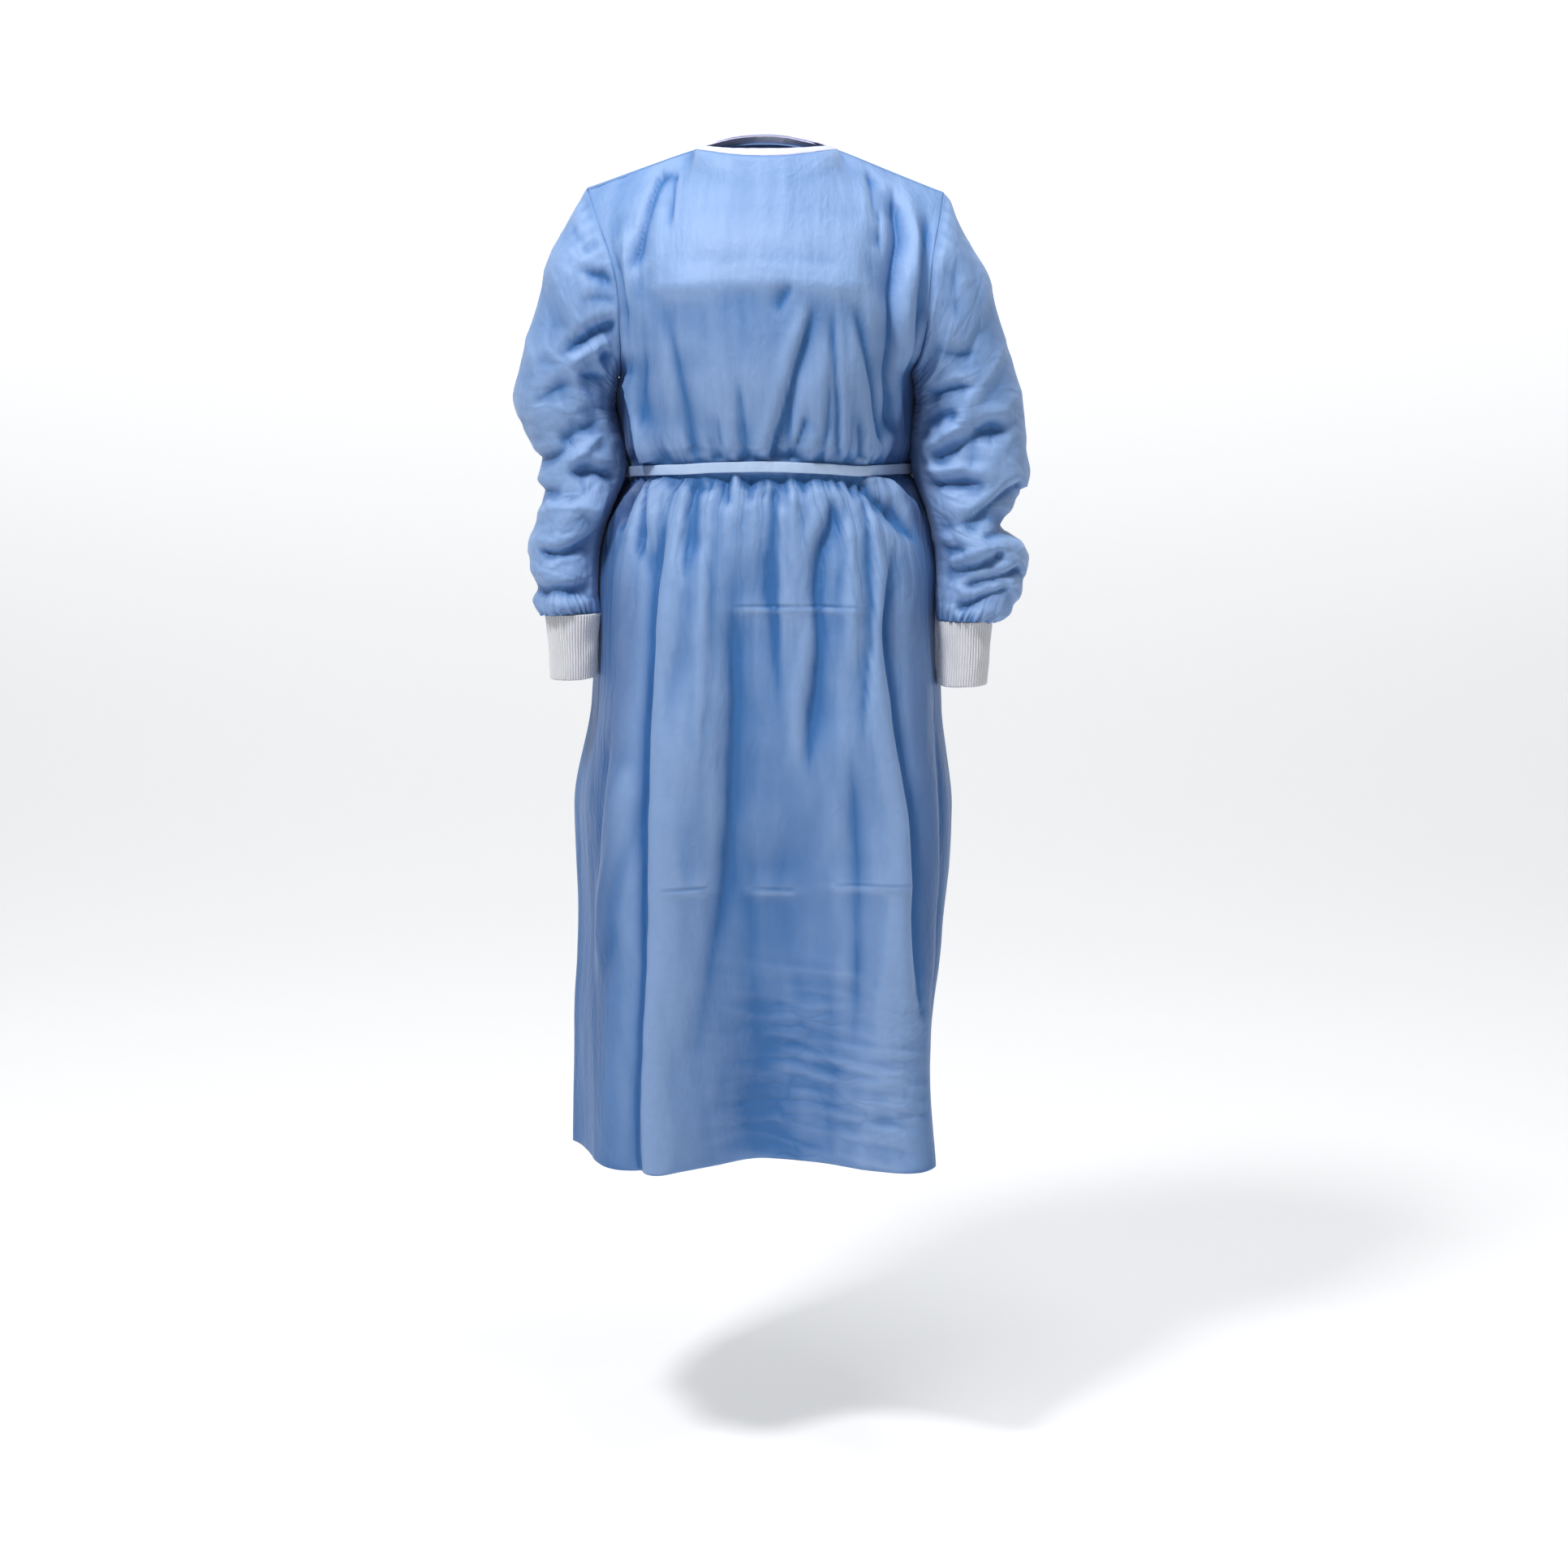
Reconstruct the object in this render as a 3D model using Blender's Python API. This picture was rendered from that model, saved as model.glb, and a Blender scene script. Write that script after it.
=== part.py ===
"""Isolation gown in light blue nonwoven cloth, as worn with no wearer: a hollow garment of sewn pieces.

Metres, +Z up. The front faces -Y and +X is the wearer's left. The origin is on the midline at the height
of the high points of the shoulder, in the plane of the shoulder seams, where the wearer holds the gown up.

Every cloth piece is a closed wall: a grid of points on its outer face and the same grid moved in by the
cloth's wall. Panels are lofted through the named sections below. `s` runs across a panel from -1 at the
right side to +1 at the left side, with its fold columns at -0.6 and +0.6.
"""

import math

import bpy
import numpy as np

for old in list(bpy.data.objects):
    bpy.data.objects.remove(old, do_unlink=True)

# ---------------------------------------------------------------- driving sizes
WALL = 0.0018  # cloth wall, built thicker than the real cloth
GAP = 0.0004  # between two edges that are sewn together
NECK_HALF_WIDTH = 0.0765  # high point of the shoulder, from the midline
NECK_FRONT = (-0.070, -0.012)  # y, z of the neckline at centre front
NECK_BACK = (0.055, 0.008)  # y, z of the neckline at centre back
NECK_S = 0.48  # s of the high point of the shoulder
FOLD_S = 0.6  # s of the fold columns
SHOULDER_RIGHT = (-0.194, -0.041)  # x, z of the shoulder point
SHOULDER_LEFT = (0.189, -0.045)
NECK_EASE = 0.13  # depth over which the panels take up the shape of the neckline
LAP_S = 0.24  # how far each back passes centre back
LAP_RISE = 0.0048  # the upper back stands this far out of the lower one
BINDING_HEIGHT = 0.009
BELT_WIDTH = 0.011
BELT_THICK = 0.0020
BELT_CLEAR = 0.0016  # belt off the cloth
CUFF_WALL = 0.0022
HEM = -1.091

# Sections of the panels, from the neck down: the height at the midline, the two fold columns that carry the
# panel's long folds, and the midline. lean_right turns the right side in towards its fold at the seam.
COLUMNS = ("z_mid", "x_fold_right", "y_fold_right", "y_mid", "x_fold_left", "y_fold_left", "lean_right")
FRONT = {
    "neck": (-0.012, -0.110, -0.012, -0.070, 0.108, -0.012, 0.00),
    "yoke": (-0.050, -0.112, -0.076, -0.092, 0.112, -0.076, 0.00),
    "chest": (-0.100, -0.109, -0.104, -0.119, 0.114, -0.102, 0.00),
    "bust": (-0.150, -0.107, -0.114, -0.134, 0.116, -0.110, 0.00),
    "pit": (-0.200, -0.107, -0.112, -0.137, 0.113, -0.108, 0.00),
    "underarm": (-0.240, -0.107, -0.106, -0.136, 0.109, -0.104, 0.00),
    "rib": (-0.288, -0.104, -0.098, -0.130, 0.106, -0.097, 0.00),
    "blouse": (-0.314, -0.100, -0.092, -0.123, 0.103, -0.092, 0.00),
    "belt_top": (-0.328, -0.092, -0.084, -0.113, 0.096, -0.084, 0.00),
    "belt_foot": (-0.342, -0.092, -0.084, -0.113, 0.096, -0.084, 0.00),
    "flare": (-0.362, -0.103, -0.094, -0.121, 0.107, -0.093, 0.00),
    "hip": (-0.405, -0.115, -0.110, -0.128, 0.122, -0.106, 0.00),
    "seat": (-0.455, -0.119, -0.125, -0.133, 0.129, -0.114, 0.00),
    "thigh": (-0.515, -0.120, -0.136, -0.136, 0.129, -0.120, 0.00),
    "upper_skirt": (-0.600, -0.121, -0.146, -0.136, 0.139, -0.127, 0.01),
    "knee": (-0.720, -0.1235, -0.154, -0.131, 0.154, -0.134, 0.03),
    "shin": (-0.850, -0.129, -0.158, -0.122, 0.160, -0.140, 0.05),
    "lower_skirt": (-0.960, -0.136, -0.157, -0.110, 0.161, -0.143, 0.06),
    "hem": (HEM, -0.139, -0.155, -0.094, 0.173, -0.147, 0.07),
}
BACK = {
    "neck": (0.008, -0.110, 0.010, 0.055, 0.108, 0.010, 0.00),
    "yoke": (-0.042, -0.112, 0.062, 0.078, 0.112, 0.062, 0.00),
    "chest": (-0.095, -0.108, 0.094, 0.101, 0.110, 0.094, 0.00),
    "bust": (-0.148, -0.106, 0.105, 0.112, 0.109, 0.105, 0.00),
    "pit": (-0.200, -0.106, 0.104, 0.113, 0.108, 0.104, 0.00),
    "underarm": (-0.240, -0.107, 0.099, 0.112, 0.107, 0.099, 0.00),
    "rib": (-0.288, -0.106, 0.096, 0.110, 0.107, 0.096, 0.00),
    "blouse": (-0.316, -0.103, 0.092, 0.106, 0.105, 0.092, 0.00),
    "belt_top": (-0.338, -0.090, 0.078, 0.095, 0.093, 0.078, 0.00),
    "belt_foot": (-0.352, -0.090, 0.078, 0.095, 0.093, 0.078, 0.00),
    "flare": (-0.372, -0.102, 0.090, 0.104, 0.104, 0.090, 0.00),
    "hip": (-0.412, -0.115, 0.107, 0.119, 0.117, 0.107, 0.00),
    "seat": (-0.459, -0.122, 0.118, 0.130, 0.123, 0.118, 0.00),
    "thigh": (-0.517, -0.127, 0.127, 0.138, 0.128, 0.127, 0.00),
    "upper_skirt": (-0.601, -0.135, 0.136, 0.145, 0.135, 0.136, 0.00),
    "knee": (-0.720, -0.145, 0.142, 0.150, 0.143, 0.142, 0.00),
    "shin": (-0.850, -0.150, 0.145, 0.152, 0.143, 0.145, 0.00),
    "lower_skirt": (-0.960, -0.152, 0.147, 0.153, 0.140, 0.147, 0.00),
    "hem": (HEM, -0.154, 0.149, 0.154, 0.138, 0.149, 0.00),
}
# The panels' edges: the armholes from the shoulder down, then the side seams. The side seams run a little
# behind the arms, where the cloth is widest.
EDGE_COLUMNS = ("z_edge", "x_right", "y_edge", "x_left")
FRONT_ARMHOLE = {
    "neck": (-0.043, -0.194, 0.000, 0.189),
    "yoke": (-0.086, -0.176, -0.043, 0.182),
    "chest": (-0.126, -0.162, -0.065, 0.175),
    "bust": (-0.168, -0.157, -0.070, 0.171),
    "pit": (-0.216, -0.156, -0.046, 0.165),
}
BACK_ARMHOLE = {
    "neck": (-0.043, -0.194, 0.000, 0.189),
    "yoke": (-0.086, -0.173, 0.042, 0.178),
    "chest": (-0.126, -0.159, 0.067, 0.168),
    "bust": (-0.168, -0.154, 0.073, 0.162),
    "pit": (-0.216, -0.154, 0.048, 0.160),
}
SIDE_SEAM = {
    "underarm": (-0.243, -0.157, 0.000, 0.158),
    "rib": (-0.290, -0.1605, 0.036, 0.1600),
    "blouse": (-0.328, -0.1605, 0.045, 0.1615),
    "belt_top": (-0.341, -0.1450, 0.036, 0.1450),
    "belt_foot": (-0.355, -0.1450, 0.036, 0.1450),
    "flare": (-0.371, -0.1660, 0.047, 0.1665),
    "hip": (-0.412, -0.1825, 0.049, 0.1830),
    "seat": (-0.459, -0.1900, 0.049, 0.1915),
    "thigh": (-0.517, -0.1900, 0.049, 0.1905),
    "upper_skirt": (-0.601, -0.1960, 0.046, 0.1925),
    "knee": (-0.720, -0.2165, 0.032, 0.2045),
    "shin": (-0.850, -0.2125, 0.006, 0.193),
    "lower_skirt": (-0.960, -0.2155, -0.012, 0.180),
    "hem": (HEM, -0.2185, -0.022, 0.177),
}
ARMHOLE_ROWS = 9  # grid rows from the shoulder seam to the underarm
ROWS_BELOW = {  # grid rows from the section above down to each of these
    "rib": 2, "blouse": 1, "belt_top": 1, "belt_foot": 1, "flare": 1, "hip": 1, "seat": 1, "thigh": 1,
    "upper_skirt": 1, "knee": 2, "shin": 2, "lower_skirt": 1, "hem": 2,
}

# Long soft folds. s and z at the top, middle and foot of each, half-width across it, and how far the cloth
# stands out (+) or in (-) at its middle, all in metres but s.
FOLD_COLUMNS = ("s_top", "z_top", "s_mid", "z_mid", "s_foot", "z_foot", "half_width", "height")
FRONT_FOLDS = {
    "right_shoulder_pleat": (-0.66, -0.040, -0.70, -0.150, -0.72, -0.322, 0.017, -0.013),
    "left_shoulder_pleat": (0.74, -0.045, 0.70, -0.150, 0.74, -0.322, 0.017, -0.014),
    "left_shoulder_roll": (0.86, -0.060, 0.84, -0.150, 0.86, -0.280, 0.016, 0.007),
    "chest_diagonal": (0.27, -0.170, 0.15, -0.250, 0.04, -0.325, 0.016, -0.012),
    "chest_diagonal_ridge": (0.16, -0.170, 0.04, -0.250, -0.08, -0.325, 0.018, 0.006),
    "chest_side_diagonal": (0.50, -0.160, 0.58, -0.240, 0.66, -0.315, 0.015, -0.009),
    "rib_trough": (-0.52, -0.200, -0.50, -0.265, -0.46, -0.325, 0.015, -0.009),
    "right_waist_trough": (-0.44, -0.355, -0.44, -0.410, -0.45, -0.480, 0.015, -0.010),
    "left_waist_trough": (0.38, -0.370, 0.27, -0.500, 0.20, -0.680, 0.019, -0.014),
    "skirt_middle_trough": (-0.17, -0.500, -0.20, -0.760, -0.36, -0.970, 0.026, -0.016),
    "right_side_trough": (-0.70, -0.420, -0.70, -0.700, -0.68, -1.250, 0.022, -0.022),
    "right_side_ridge": (-0.84, -0.600, -0.86, -0.760, -0.88, -0.980, 0.022, 0.006),
    "left_side_trough": (0.78, -0.430, 0.80, -0.700, 0.80, -1.000, 0.022, -0.017),
}
BACK_FOLDS = {
    "right_blade_trough": (-0.62, -0.090, -0.58, -0.200, -0.55, -0.320, 0.018, -0.006),
    "left_blade_trough": (0.64, -0.090, 0.60, -0.200, 0.56, -0.320, 0.018, -0.006),
    "right_seat_trough": (-0.42, -0.375, -0.46, -0.650, -0.48, -1.250, 0.026, -0.016),
    "left_seat_trough": (0.46, -0.375, 0.50, -0.650, 0.50, -1.250, 0.026, -0.016),
    "right_hip_trough": (-0.78, -0.385, -0.78, -0.650, -0.76, -1.250, 0.024, -0.013),
    "left_hip_trough": (0.80, -0.385, 0.78, -0.650, 0.76, -1.250, 0.024, -0.013),
}

# Rings of the sleeves below the armhole, from the shoulder down: the outer and the inner point of each ring
# in x and z, the middle's y, and half the ring's depth along y.
RING_COLUMNS = ("x_outer", "z_outer", "x_inner", "z_inner", "y_middle", "half_depth")
SLEEVE_RIGHT = {
    "head": (-0.2200, -0.083, -0.1610, -0.2450, 0.000, 0.070),
    "cap": (-0.2400, -0.125, -0.1640, -0.2520, 0.001, 0.068),
    "upper_arm": (-0.2510, -0.170, -0.1655, -0.2600, 0.003, 0.066),
    "mid_arm": (-0.2640, -0.218, -0.1650, -0.2700, 0.005, 0.064),
    "elbow_puff": (-0.2725, -0.264, -0.1625, -0.2850, 0.006, 0.062),
    "elbow": (-0.2670, -0.296, -0.1585, -0.3030, 0.005, 0.060),
    "under_elbow": (-0.2530, -0.332, -0.1540, -0.3260, 0.001, 0.057),
    "pinch": (-0.2465, -0.362, -0.1560, -0.3510, -0.005, 0.054),
    "fore_arm": (-0.2500, -0.390, -0.1690, -0.3800, -0.011, 0.053),
    "low_puff": (-0.2605, -0.418, -0.1790, -0.4100, -0.017, 0.053),
    "puff_foot": (-0.2600, -0.440, -0.1840, -0.4380, -0.022, 0.050),
    "gather": (-0.2510, -0.464, -0.1850, -0.4640, -0.029, 0.045),
    "wrist_roll": (-0.2500, -0.480, -0.1845, -0.4800, -0.032, 0.042),
    "wrist": (-0.2420, -0.4940, -0.1810, -0.4940, -0.034, 0.0385),
}
SLEEVE_LEFT = {
    "head": (0.2140, -0.091, 0.1620, -0.2450, 0.000, 0.070),
    "cap": (0.2380, -0.130, 0.1650, -0.2520, 0.001, 0.068),
    "upper_arm": (0.2510, -0.176, 0.1655, -0.2600, 0.003, 0.066),
    "mid_arm": (0.2660, -0.228, 0.1630, -0.2720, 0.005, 0.064),
    "elbow_puff": (0.2785, -0.276, 0.1590, -0.2900, 0.006, 0.063),
    "elbow": (0.2820, -0.318, 0.1560, -0.3170, 0.004, 0.062),
    "under_elbow": (0.2835, -0.348, 0.1575, -0.3430, -0.001, 0.060),
    "pinch": (0.2700, -0.378, 0.1640, -0.3640, -0.006, 0.057),
    "fore_arm": (0.2590, -0.399, 0.1730, -0.3860, -0.012, 0.055),
    "low_puff": (0.2800, -0.428, 0.1805, -0.4150, -0.018, 0.056),
    "puff_foot": (0.2805, -0.452, 0.1835, -0.4430, -0.023, 0.053),
    "gather": (0.2740, -0.472, 0.1840, -0.4680, -0.030, 0.047),
    "wrist_roll": (0.2600, -0.490, 0.1845, -0.4860, -0.032, 0.042),
    "wrist": (0.2450, -0.5030, 0.1850, -0.5030, -0.034, 0.0385),
}
# Cuffs: middle in x, height, half-width along x and half-depth along y.
CUFF_COLUMNS = ("x_middle", "z", "half_width", "half_depth")
CUFF_RIGHT = {
    "seam": (-0.2115, -0.4944, 0.0300, 0.0378),
    "middle": (-0.2120, -0.5260, 0.0268, 0.0350),
    "end": (-0.2125, -0.5650, 0.0255, 0.0335),
}
CUFF_LEFT = {
    "seam": (0.2150, -0.5034, 0.0295, 0.0378),
    "middle": (0.2140, -0.5350, 0.0282, 0.0352),
    "end": (0.2120, -0.5740, 0.0275, 0.0340),
}
CUFF_Y = -0.034

BLUE = (0.145, 0.285, 0.600)
BELT_BLUE = (0.330, 0.500, 0.830)
BINDING_PALE = (0.690, 0.690, 0.870)
KNIT_WHITE = (0.520, 0.510, 0.520)


# ---------------------------------------------------------------- curves and grids
def rising(knots, values):
    """A smooth curve through values at rising knots that never passes them (monotone cubic)."""
    knots, values = np.asarray(knots, float), np.asarray(values, float)
    step = np.diff(knots)
    slope = np.diff(values) / step
    turn = np.zeros(len(knots))
    for i in range(1, len(knots) - 1):
        if slope[i - 1] * slope[i] > 0:
            before, after = 2 * step[i] + step[i - 1], step[i] + 2 * step[i - 1]
            turn[i] = (before + after) / (before / slope[i - 1] + after / slope[i])
    turn[0], turn[-1] = slope[0], slope[-1]

    def at(knot):
        knot = min(max(knot, knots[0]), knots[-1])
        i = min(int(np.searchsorted(knots, knot, side="right")) - 1, len(step) - 1)
        t = (knot - knots[i]) / step[i]
        return (
            (1 + 2 * t) * (1 - t) ** 2 * values[i]
            + t * (1 - t) ** 2 * step[i] * turn[i]
            + t * t * (3 - 2 * t) * values[i + 1]
            + t * t * (t - 1) * step[i] * turn[i + 1]
        )

    return at


def unit(vector):
    vector = np.asarray(vector, float)
    return vector / max(np.linalg.norm(vector), 1e-12)


def smooth(t):
    t = min(max(t, 0.0), 1.0)
    return t * t * (3 - 2 * t)


class Panel:
    """The outer face of the front or of the whole back, at any s and depth below the neck."""

    def __init__(self, table, armhole, folds, facing, neck):
        self.facing = facing  # -1 front, +1 back
        self.neck = neck
        edges = {**armhole, **SIDE_SEAM}
        self.names = list(table)
        rows = np.array([table[name] + edges[name] for name in self.names])
        self.depths = -rows[:, len(COLUMNS)]  # a row's depth is its edge's, which the front and back share
        self.columns = {name: rising(self.depths, rows[:, k]) for k, name in enumerate(COLUMNS)}
        # The armhole and the side seam meet in a corner, so each is a curve of its own.
        corner = self.names.index("underarm")
        for k, name in enumerate(EDGE_COLUMNS, len(COLUMNS)):
            above = rising(self.depths[: corner + 1], rows[: corner + 1, k])
            below = rising(self.depths[corner:], rows[corner:, k])
            self.columns[name] = lambda depth, a=above, b=below, at=self.depths[corner]: a(depth) if depth <= at else b(depth)
        self.folds = []
        for row in folds.values():
            fold = dict(zip(FOLD_COLUMNS, row))
            knots = [-fold["z_top"], -fold["z_mid"], -fold["z_foot"]]
            path = rising(knots, [fold["s_top"], fold["s_mid"], fold["s_foot"]])
            self.folds.append((knots[0], knots[2], path, fold["half_width"], fold["height"]))

    def depth(self, name):
        return self.depths[self.names.index(name)]

    def section(self, s, depth):
        c = {name: at(depth) for name, at in self.columns.items()}
        out = self.facing
        nodes = [
            (c["x_right"] * 0.98 - c["lean_right"], c["y_edge"] - out * 0.10),
            (c["x_right"], c["y_edge"]),
            (c["x_fold_right"], c["y_fold_right"]),
            (0.0, c["y_mid"]),
            (c["x_fold_left"], c["y_fold_left"]),
            (c["x_left"], c["y_edge"]),
            (c["x_left"] * 0.98, c["y_edge"] - out * 0.10),
        ]
        nodes = np.array(nodes)
        stops = (-1.0, -FOLD_S, 0.0, FOLD_S, 1.0)
        i = 0
        while i < 3 and s > stops[i + 1]:
            i += 1
        t = (s - stops[i]) / (stops[i + 1] - stops[i])

        def heading(k):
            before, after = nodes[k] - nodes[k - 1], nodes[k + 1] - nodes[k]
            near, far = np.linalg.norm(before), np.linalg.norm(after)
            return unit(before / near * far + after / far * near)

        a, b = nodes[i + 1], nodes[i + 2]
        chord = np.linalg.norm(b - a)
        ta, tb = heading(i + 1) * chord, heading(i + 2) * chord
        xy = (1 + 2 * t) * (1 - t) ** 2 * a + t * (1 - t) ** 2 * ta + t * t * (3 - 2 * t) * b + t * t * (t - 1) * tb
        z = c["z_edge"] + (c["z_mid"] - c["z_edge"]) * (1 - abs(s) ** 1.6)
        return np.array([xy[0], xy[1], z])

    def top(self, s):
        """The neckline and the two shoulder seams."""
        if abs(s) <= NECK_S:
            turn = s / NECK_S * math.pi / 2
            y, z = self.neck
            return np.array([NECK_HALF_WIDTH * math.sin(turn), y * math.cos(turn), z * math.cos(turn) ** 2])
        t = (abs(s) - NECK_S) / (1 - NECK_S)
        x, z = SHOULDER_LEFT if s > 0 else SHOULDER_RIGHT
        start = math.copysign(NECK_HALF_WIDTH, s)
        return np.array([start + (x - start) * t, 0.0, z * t])

    def plain(self, s, depth):
        point = self.section(s, depth)
        down = (depth - self.depths[0]) / NECK_EASE
        if down < 1:
            keep = (1 - down) ** 2 * (1 + 2 * down)
            point = point + (self.top(s) - self.section(s, self.depths[0])) * keep
        return point

    def face(self, s, depth):
        """Direction out of the cloth."""
        e = 0.004
        low, high = max(depth - e, self.depths[0]), min(depth + e, self.depths[-1])
        left, right = max(s - e * 3, -1.0), min(s + e * 3, 1.0)
        down = self.plain(s, high) - self.plain(s, low)
        across = self.plain(right, depth) - self.plain(left, depth)
        return unit(np.cross(across, -down) * -self.facing)

    def point(self, s, depth):
        here = self.plain(s, depth)
        out = self.face(s, depth)
        ahead, behind = self.plain(min(s + 0.02, 1.0), depth), self.plain(max(s - 0.02, -1.0), depth)
        scale = np.linalg.norm(ahead - behind) / (min(s + 0.02, 1.0) - max(s - 0.02, -1.0))
        move = 0.0
        for start, end, path, half_width, height in self.folds:
            down = -here[2]
            fade = smooth((down - start) / 0.05) * (smooth((end - down) / 0.05) if end < -HEM else 1.0)
            if fade > 0:
                away = (s - path(down)) * scale / half_width
                move += height * fade * math.exp(-away * away)
        edge = smooth((1 - abs(s)) / 0.08)
        neck = smooth((depth - self.depths[0]) / 0.03)
        waist = 1.0 - 0.7 * math.exp(-(((depth - self.depth("belt_top") - 0.007) / 0.016) ** 2))
        return here + out * move * edge * neck * waist


def grid_depths(panel):
    """Depths of the grid rows, the first ARMHOLE_ROWS evenly spaced along the armhole edge."""
    fine = np.linspace(panel.depths[0], panel.depth("underarm"), 200)
    edge = np.array([panel.plain(-1.0, d) for d in fine])
    run = np.concatenate([[0.0], np.cumsum(np.linalg.norm(np.diff(edge, axis=0), axis=1))])
    depths = list(np.interp(np.linspace(0, run[-1], ARMHOLE_ROWS + 1), run, fine))
    for name, rows in ROWS_BELOW.items():
        depths += list(np.linspace(depths[-1], panel.depth(name), rows + 1)[1:])
    return depths


def wall(outer, inward, closed=False):
    """Points and triangles of a wall: outer is rows x columns x 3, seen from outside, inward the way in."""
    rows, cols = outer.shape[:2]
    inner = outer + inward
    points = np.concatenate([outer.reshape(-1, 3), inner.reshape(-1, 3)])
    base = rows * cols
    faces = []
    spans = cols if closed else cols - 1
    for r in range(rows - 1):
        for c in range(spans):
            n = (c + 1) % cols
            a, b, d, e = r * cols + c, r * cols + n, (r + 1) * cols + c, (r + 1) * cols + n
            short = np.linalg.norm(points[a] - points[e]) <= np.linalg.norm(points[b] - points[d])
            pair = ((a, d, e), (a, e, b)) if short else ((a, d, b), (b, d, e))
            for tri in pair:
                faces.append(tri)
                faces.append(tuple(base + i for i in reversed(tri)))
    for c in range(spans):
        n = (c + 1) % cols
        for first, second in ((c, n), ((rows - 1) * cols + n, (rows - 1) * cols + c)):
            faces.append((first, second, base + second))
            faces.append((first, base + second, base + first))
    if not closed:
        # Both sides split alike, so that two seam edges with the same points lie face to face.
        for r in range(rows - 1):
            first, second = r * cols, (r + 1) * cols
            faces.append((first, base + second, second))
            faces.append((first, base + first, base + second))
            first, second = (r + 1) * cols - 1, (r + 2) * cols - 1
            faces.append((first, second, base + second))
            faces.append((first, base + second, base + first))
    return points, faces


def grid_normals(grid, closed=False):
    """Unit directions out of a grid whose rows run down and whose columns run to the right, seen from outside."""
    across = np.roll(grid, -1, 1) - np.roll(grid, 1, 1)
    if not closed:
        across[:, 0] = grid[:, 1] - grid[:, 0]
        across[:, -1] = grid[:, -1] - grid[:, -2]
    down = np.gradient(grid, axis=0)
    out = np.cross(down, across)
    return out / np.maximum(np.linalg.norm(out, axis=2, keepdims=True), 1e-12)


# ---------------------------------------------------------------- materials and objects
def material(name, colour, roughness):
    found = bpy.data.materials.get(name)
    if found:
        return found
    made = bpy.data.materials.new(name)
    made.use_nodes = True
    shader = made.node_tree.nodes["Principled BSDF"]
    shader.inputs["Base Color"].default_value = (*colour, 1.0)
    shader.inputs["Roughness"].default_value = roughness
    shader.inputs["Metallic"].default_value = 0.0
    return made


def add(name, points, faces, finish):
    mesh = bpy.data.meshes.new(name)
    mesh.from_pydata([tuple(p) for p in points], [], [tuple(f) for f in faces])
    mesh.update()
    corners = points[np.array(faces)]
    if np.linalg.det(corners).sum() < 0:
        mesh.flip_normals()
    mesh.shade_smooth()
    mesh.set_sharp_from_angle(angle=math.radians(60))
    obj = bpy.data.objects.new(name, mesh)
    bpy.context.scene.collection.objects.link(obj)
    obj.data.materials.append(finish)
    return obj


cloth = material("gown_cloth", BLUE, 0.62)
belt_cloth = material("belt_cloth", BELT_BLUE, 0.62)
binding_tape = material("binding_tape", BINDING_PALE, 0.70)
knit = material("cuff_knit", KNIT_WHITE, 0.90)

# ---------------------------------------------------------------- front and backs
front = Panel(FRONT, FRONT_ARMHOLE, FRONT_FOLDS, -1, NECK_FRONT)
back = Panel(BACK, BACK_ARMHOLE, BACK_FOLDS, 1, NECK_BACK)


def spread(*stops):
    """s values from stop to stop: (value, intervals to it) pairs after the first."""
    values = [stops[0]]
    for stop, intervals in stops[1:]:
        values += list(np.linspace(values[-1], stop, intervals + 1)[1:])
    return np.array(values)


FRONT_S = spread(-1.0, (-FOLD_S, 6), (0.0, 10), (FOLD_S, 10), (1.0, 6))
BACK_LEFT_S = spread(-LAP_S, (FOLD_S, 7), (1.0, 5))
BACK_RIGHT_S = spread(-1.0, (-FOLD_S, 5), (LAP_S, 7))


def lap_rise(s):
    """How far the upper back is moved out over the lower one."""
    return LAP_RISE * (1 - smooth((s - LAP_S - 0.02) / 0.16))


def panel_grid(panel, spots, rise=None):
    depths = grid_depths(panel)
    # Seen from outside, the front's columns run from its right side and the back's from its left side.
    order = spots if panel.facing < 0 else spots[::-1]
    grid = np.array([[panel.point(s, d) for s in order] for d in depths])
    out = grid_normals(grid)
    underarm = ARMHOLE_ROWS
    for k, s in ((0, order[0]), (-1, order[-1])):
        if abs(s) < 0.999:
            continue
        side = math.copysign(1.0, s)
        edge = grid[: underarm + 1, k]
        middle = np.array([0.0, 0.0, (edge[0, 2] + edge[-1, 2]) / 2])
        for r in range(len(depths)):
            if r <= underarm:
                way = -unit(middle - np.array([0.0, grid[r, k, 1], grid[r, k, 2]]))
                own = smooth((-way[2] - 0.3) / 0.7)
                out[r, k] = unit(way * (1 - 0.5 * own) + np.array([side, 0.0, 0.0]) * own * 0.5)
            else:
                out[r, k] = (side, 0.0, 0.0)
    for c, s in enumerate(order):
        if abs(s) > NECK_S - 1e-6:
            out[0, c] = unit([out[0, c][0], 0.0, out[0, c][2]])
    if rise is not None:
        for c, s in enumerate(order):
            grid[:, c] += out[:, c] * rise(s)
    # Half the seam's gap off each shoulder seam and side seam, forwards or back.
    for c, s in enumerate(order):
        if abs(s) > NECK_S - 1e-6:
            grid[0, c, 1] += panel.facing * GAP / 2
    for k, s in ((0, order[0]), (-1, order[-1])):
        if abs(s) > 0.999:
            grid[underarm:, k, 1] += panel.facing * GAP / 2
    return grid, out, order


front_grid, front_out, front_s = panel_grid(front, FRONT_S)
left_grid, left_out, left_s = panel_grid(back, BACK_LEFT_S, lap_rise)
right_grid, right_out, right_s = panel_grid(back, BACK_RIGHT_S)
for name, grid, out in (
    ("front", front_grid, front_out),
    ("back_left", left_grid, left_out),
    ("back_right", right_grid, right_out),
):
    add(name, *wall(grid, -out * WALL), cloth)


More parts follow.
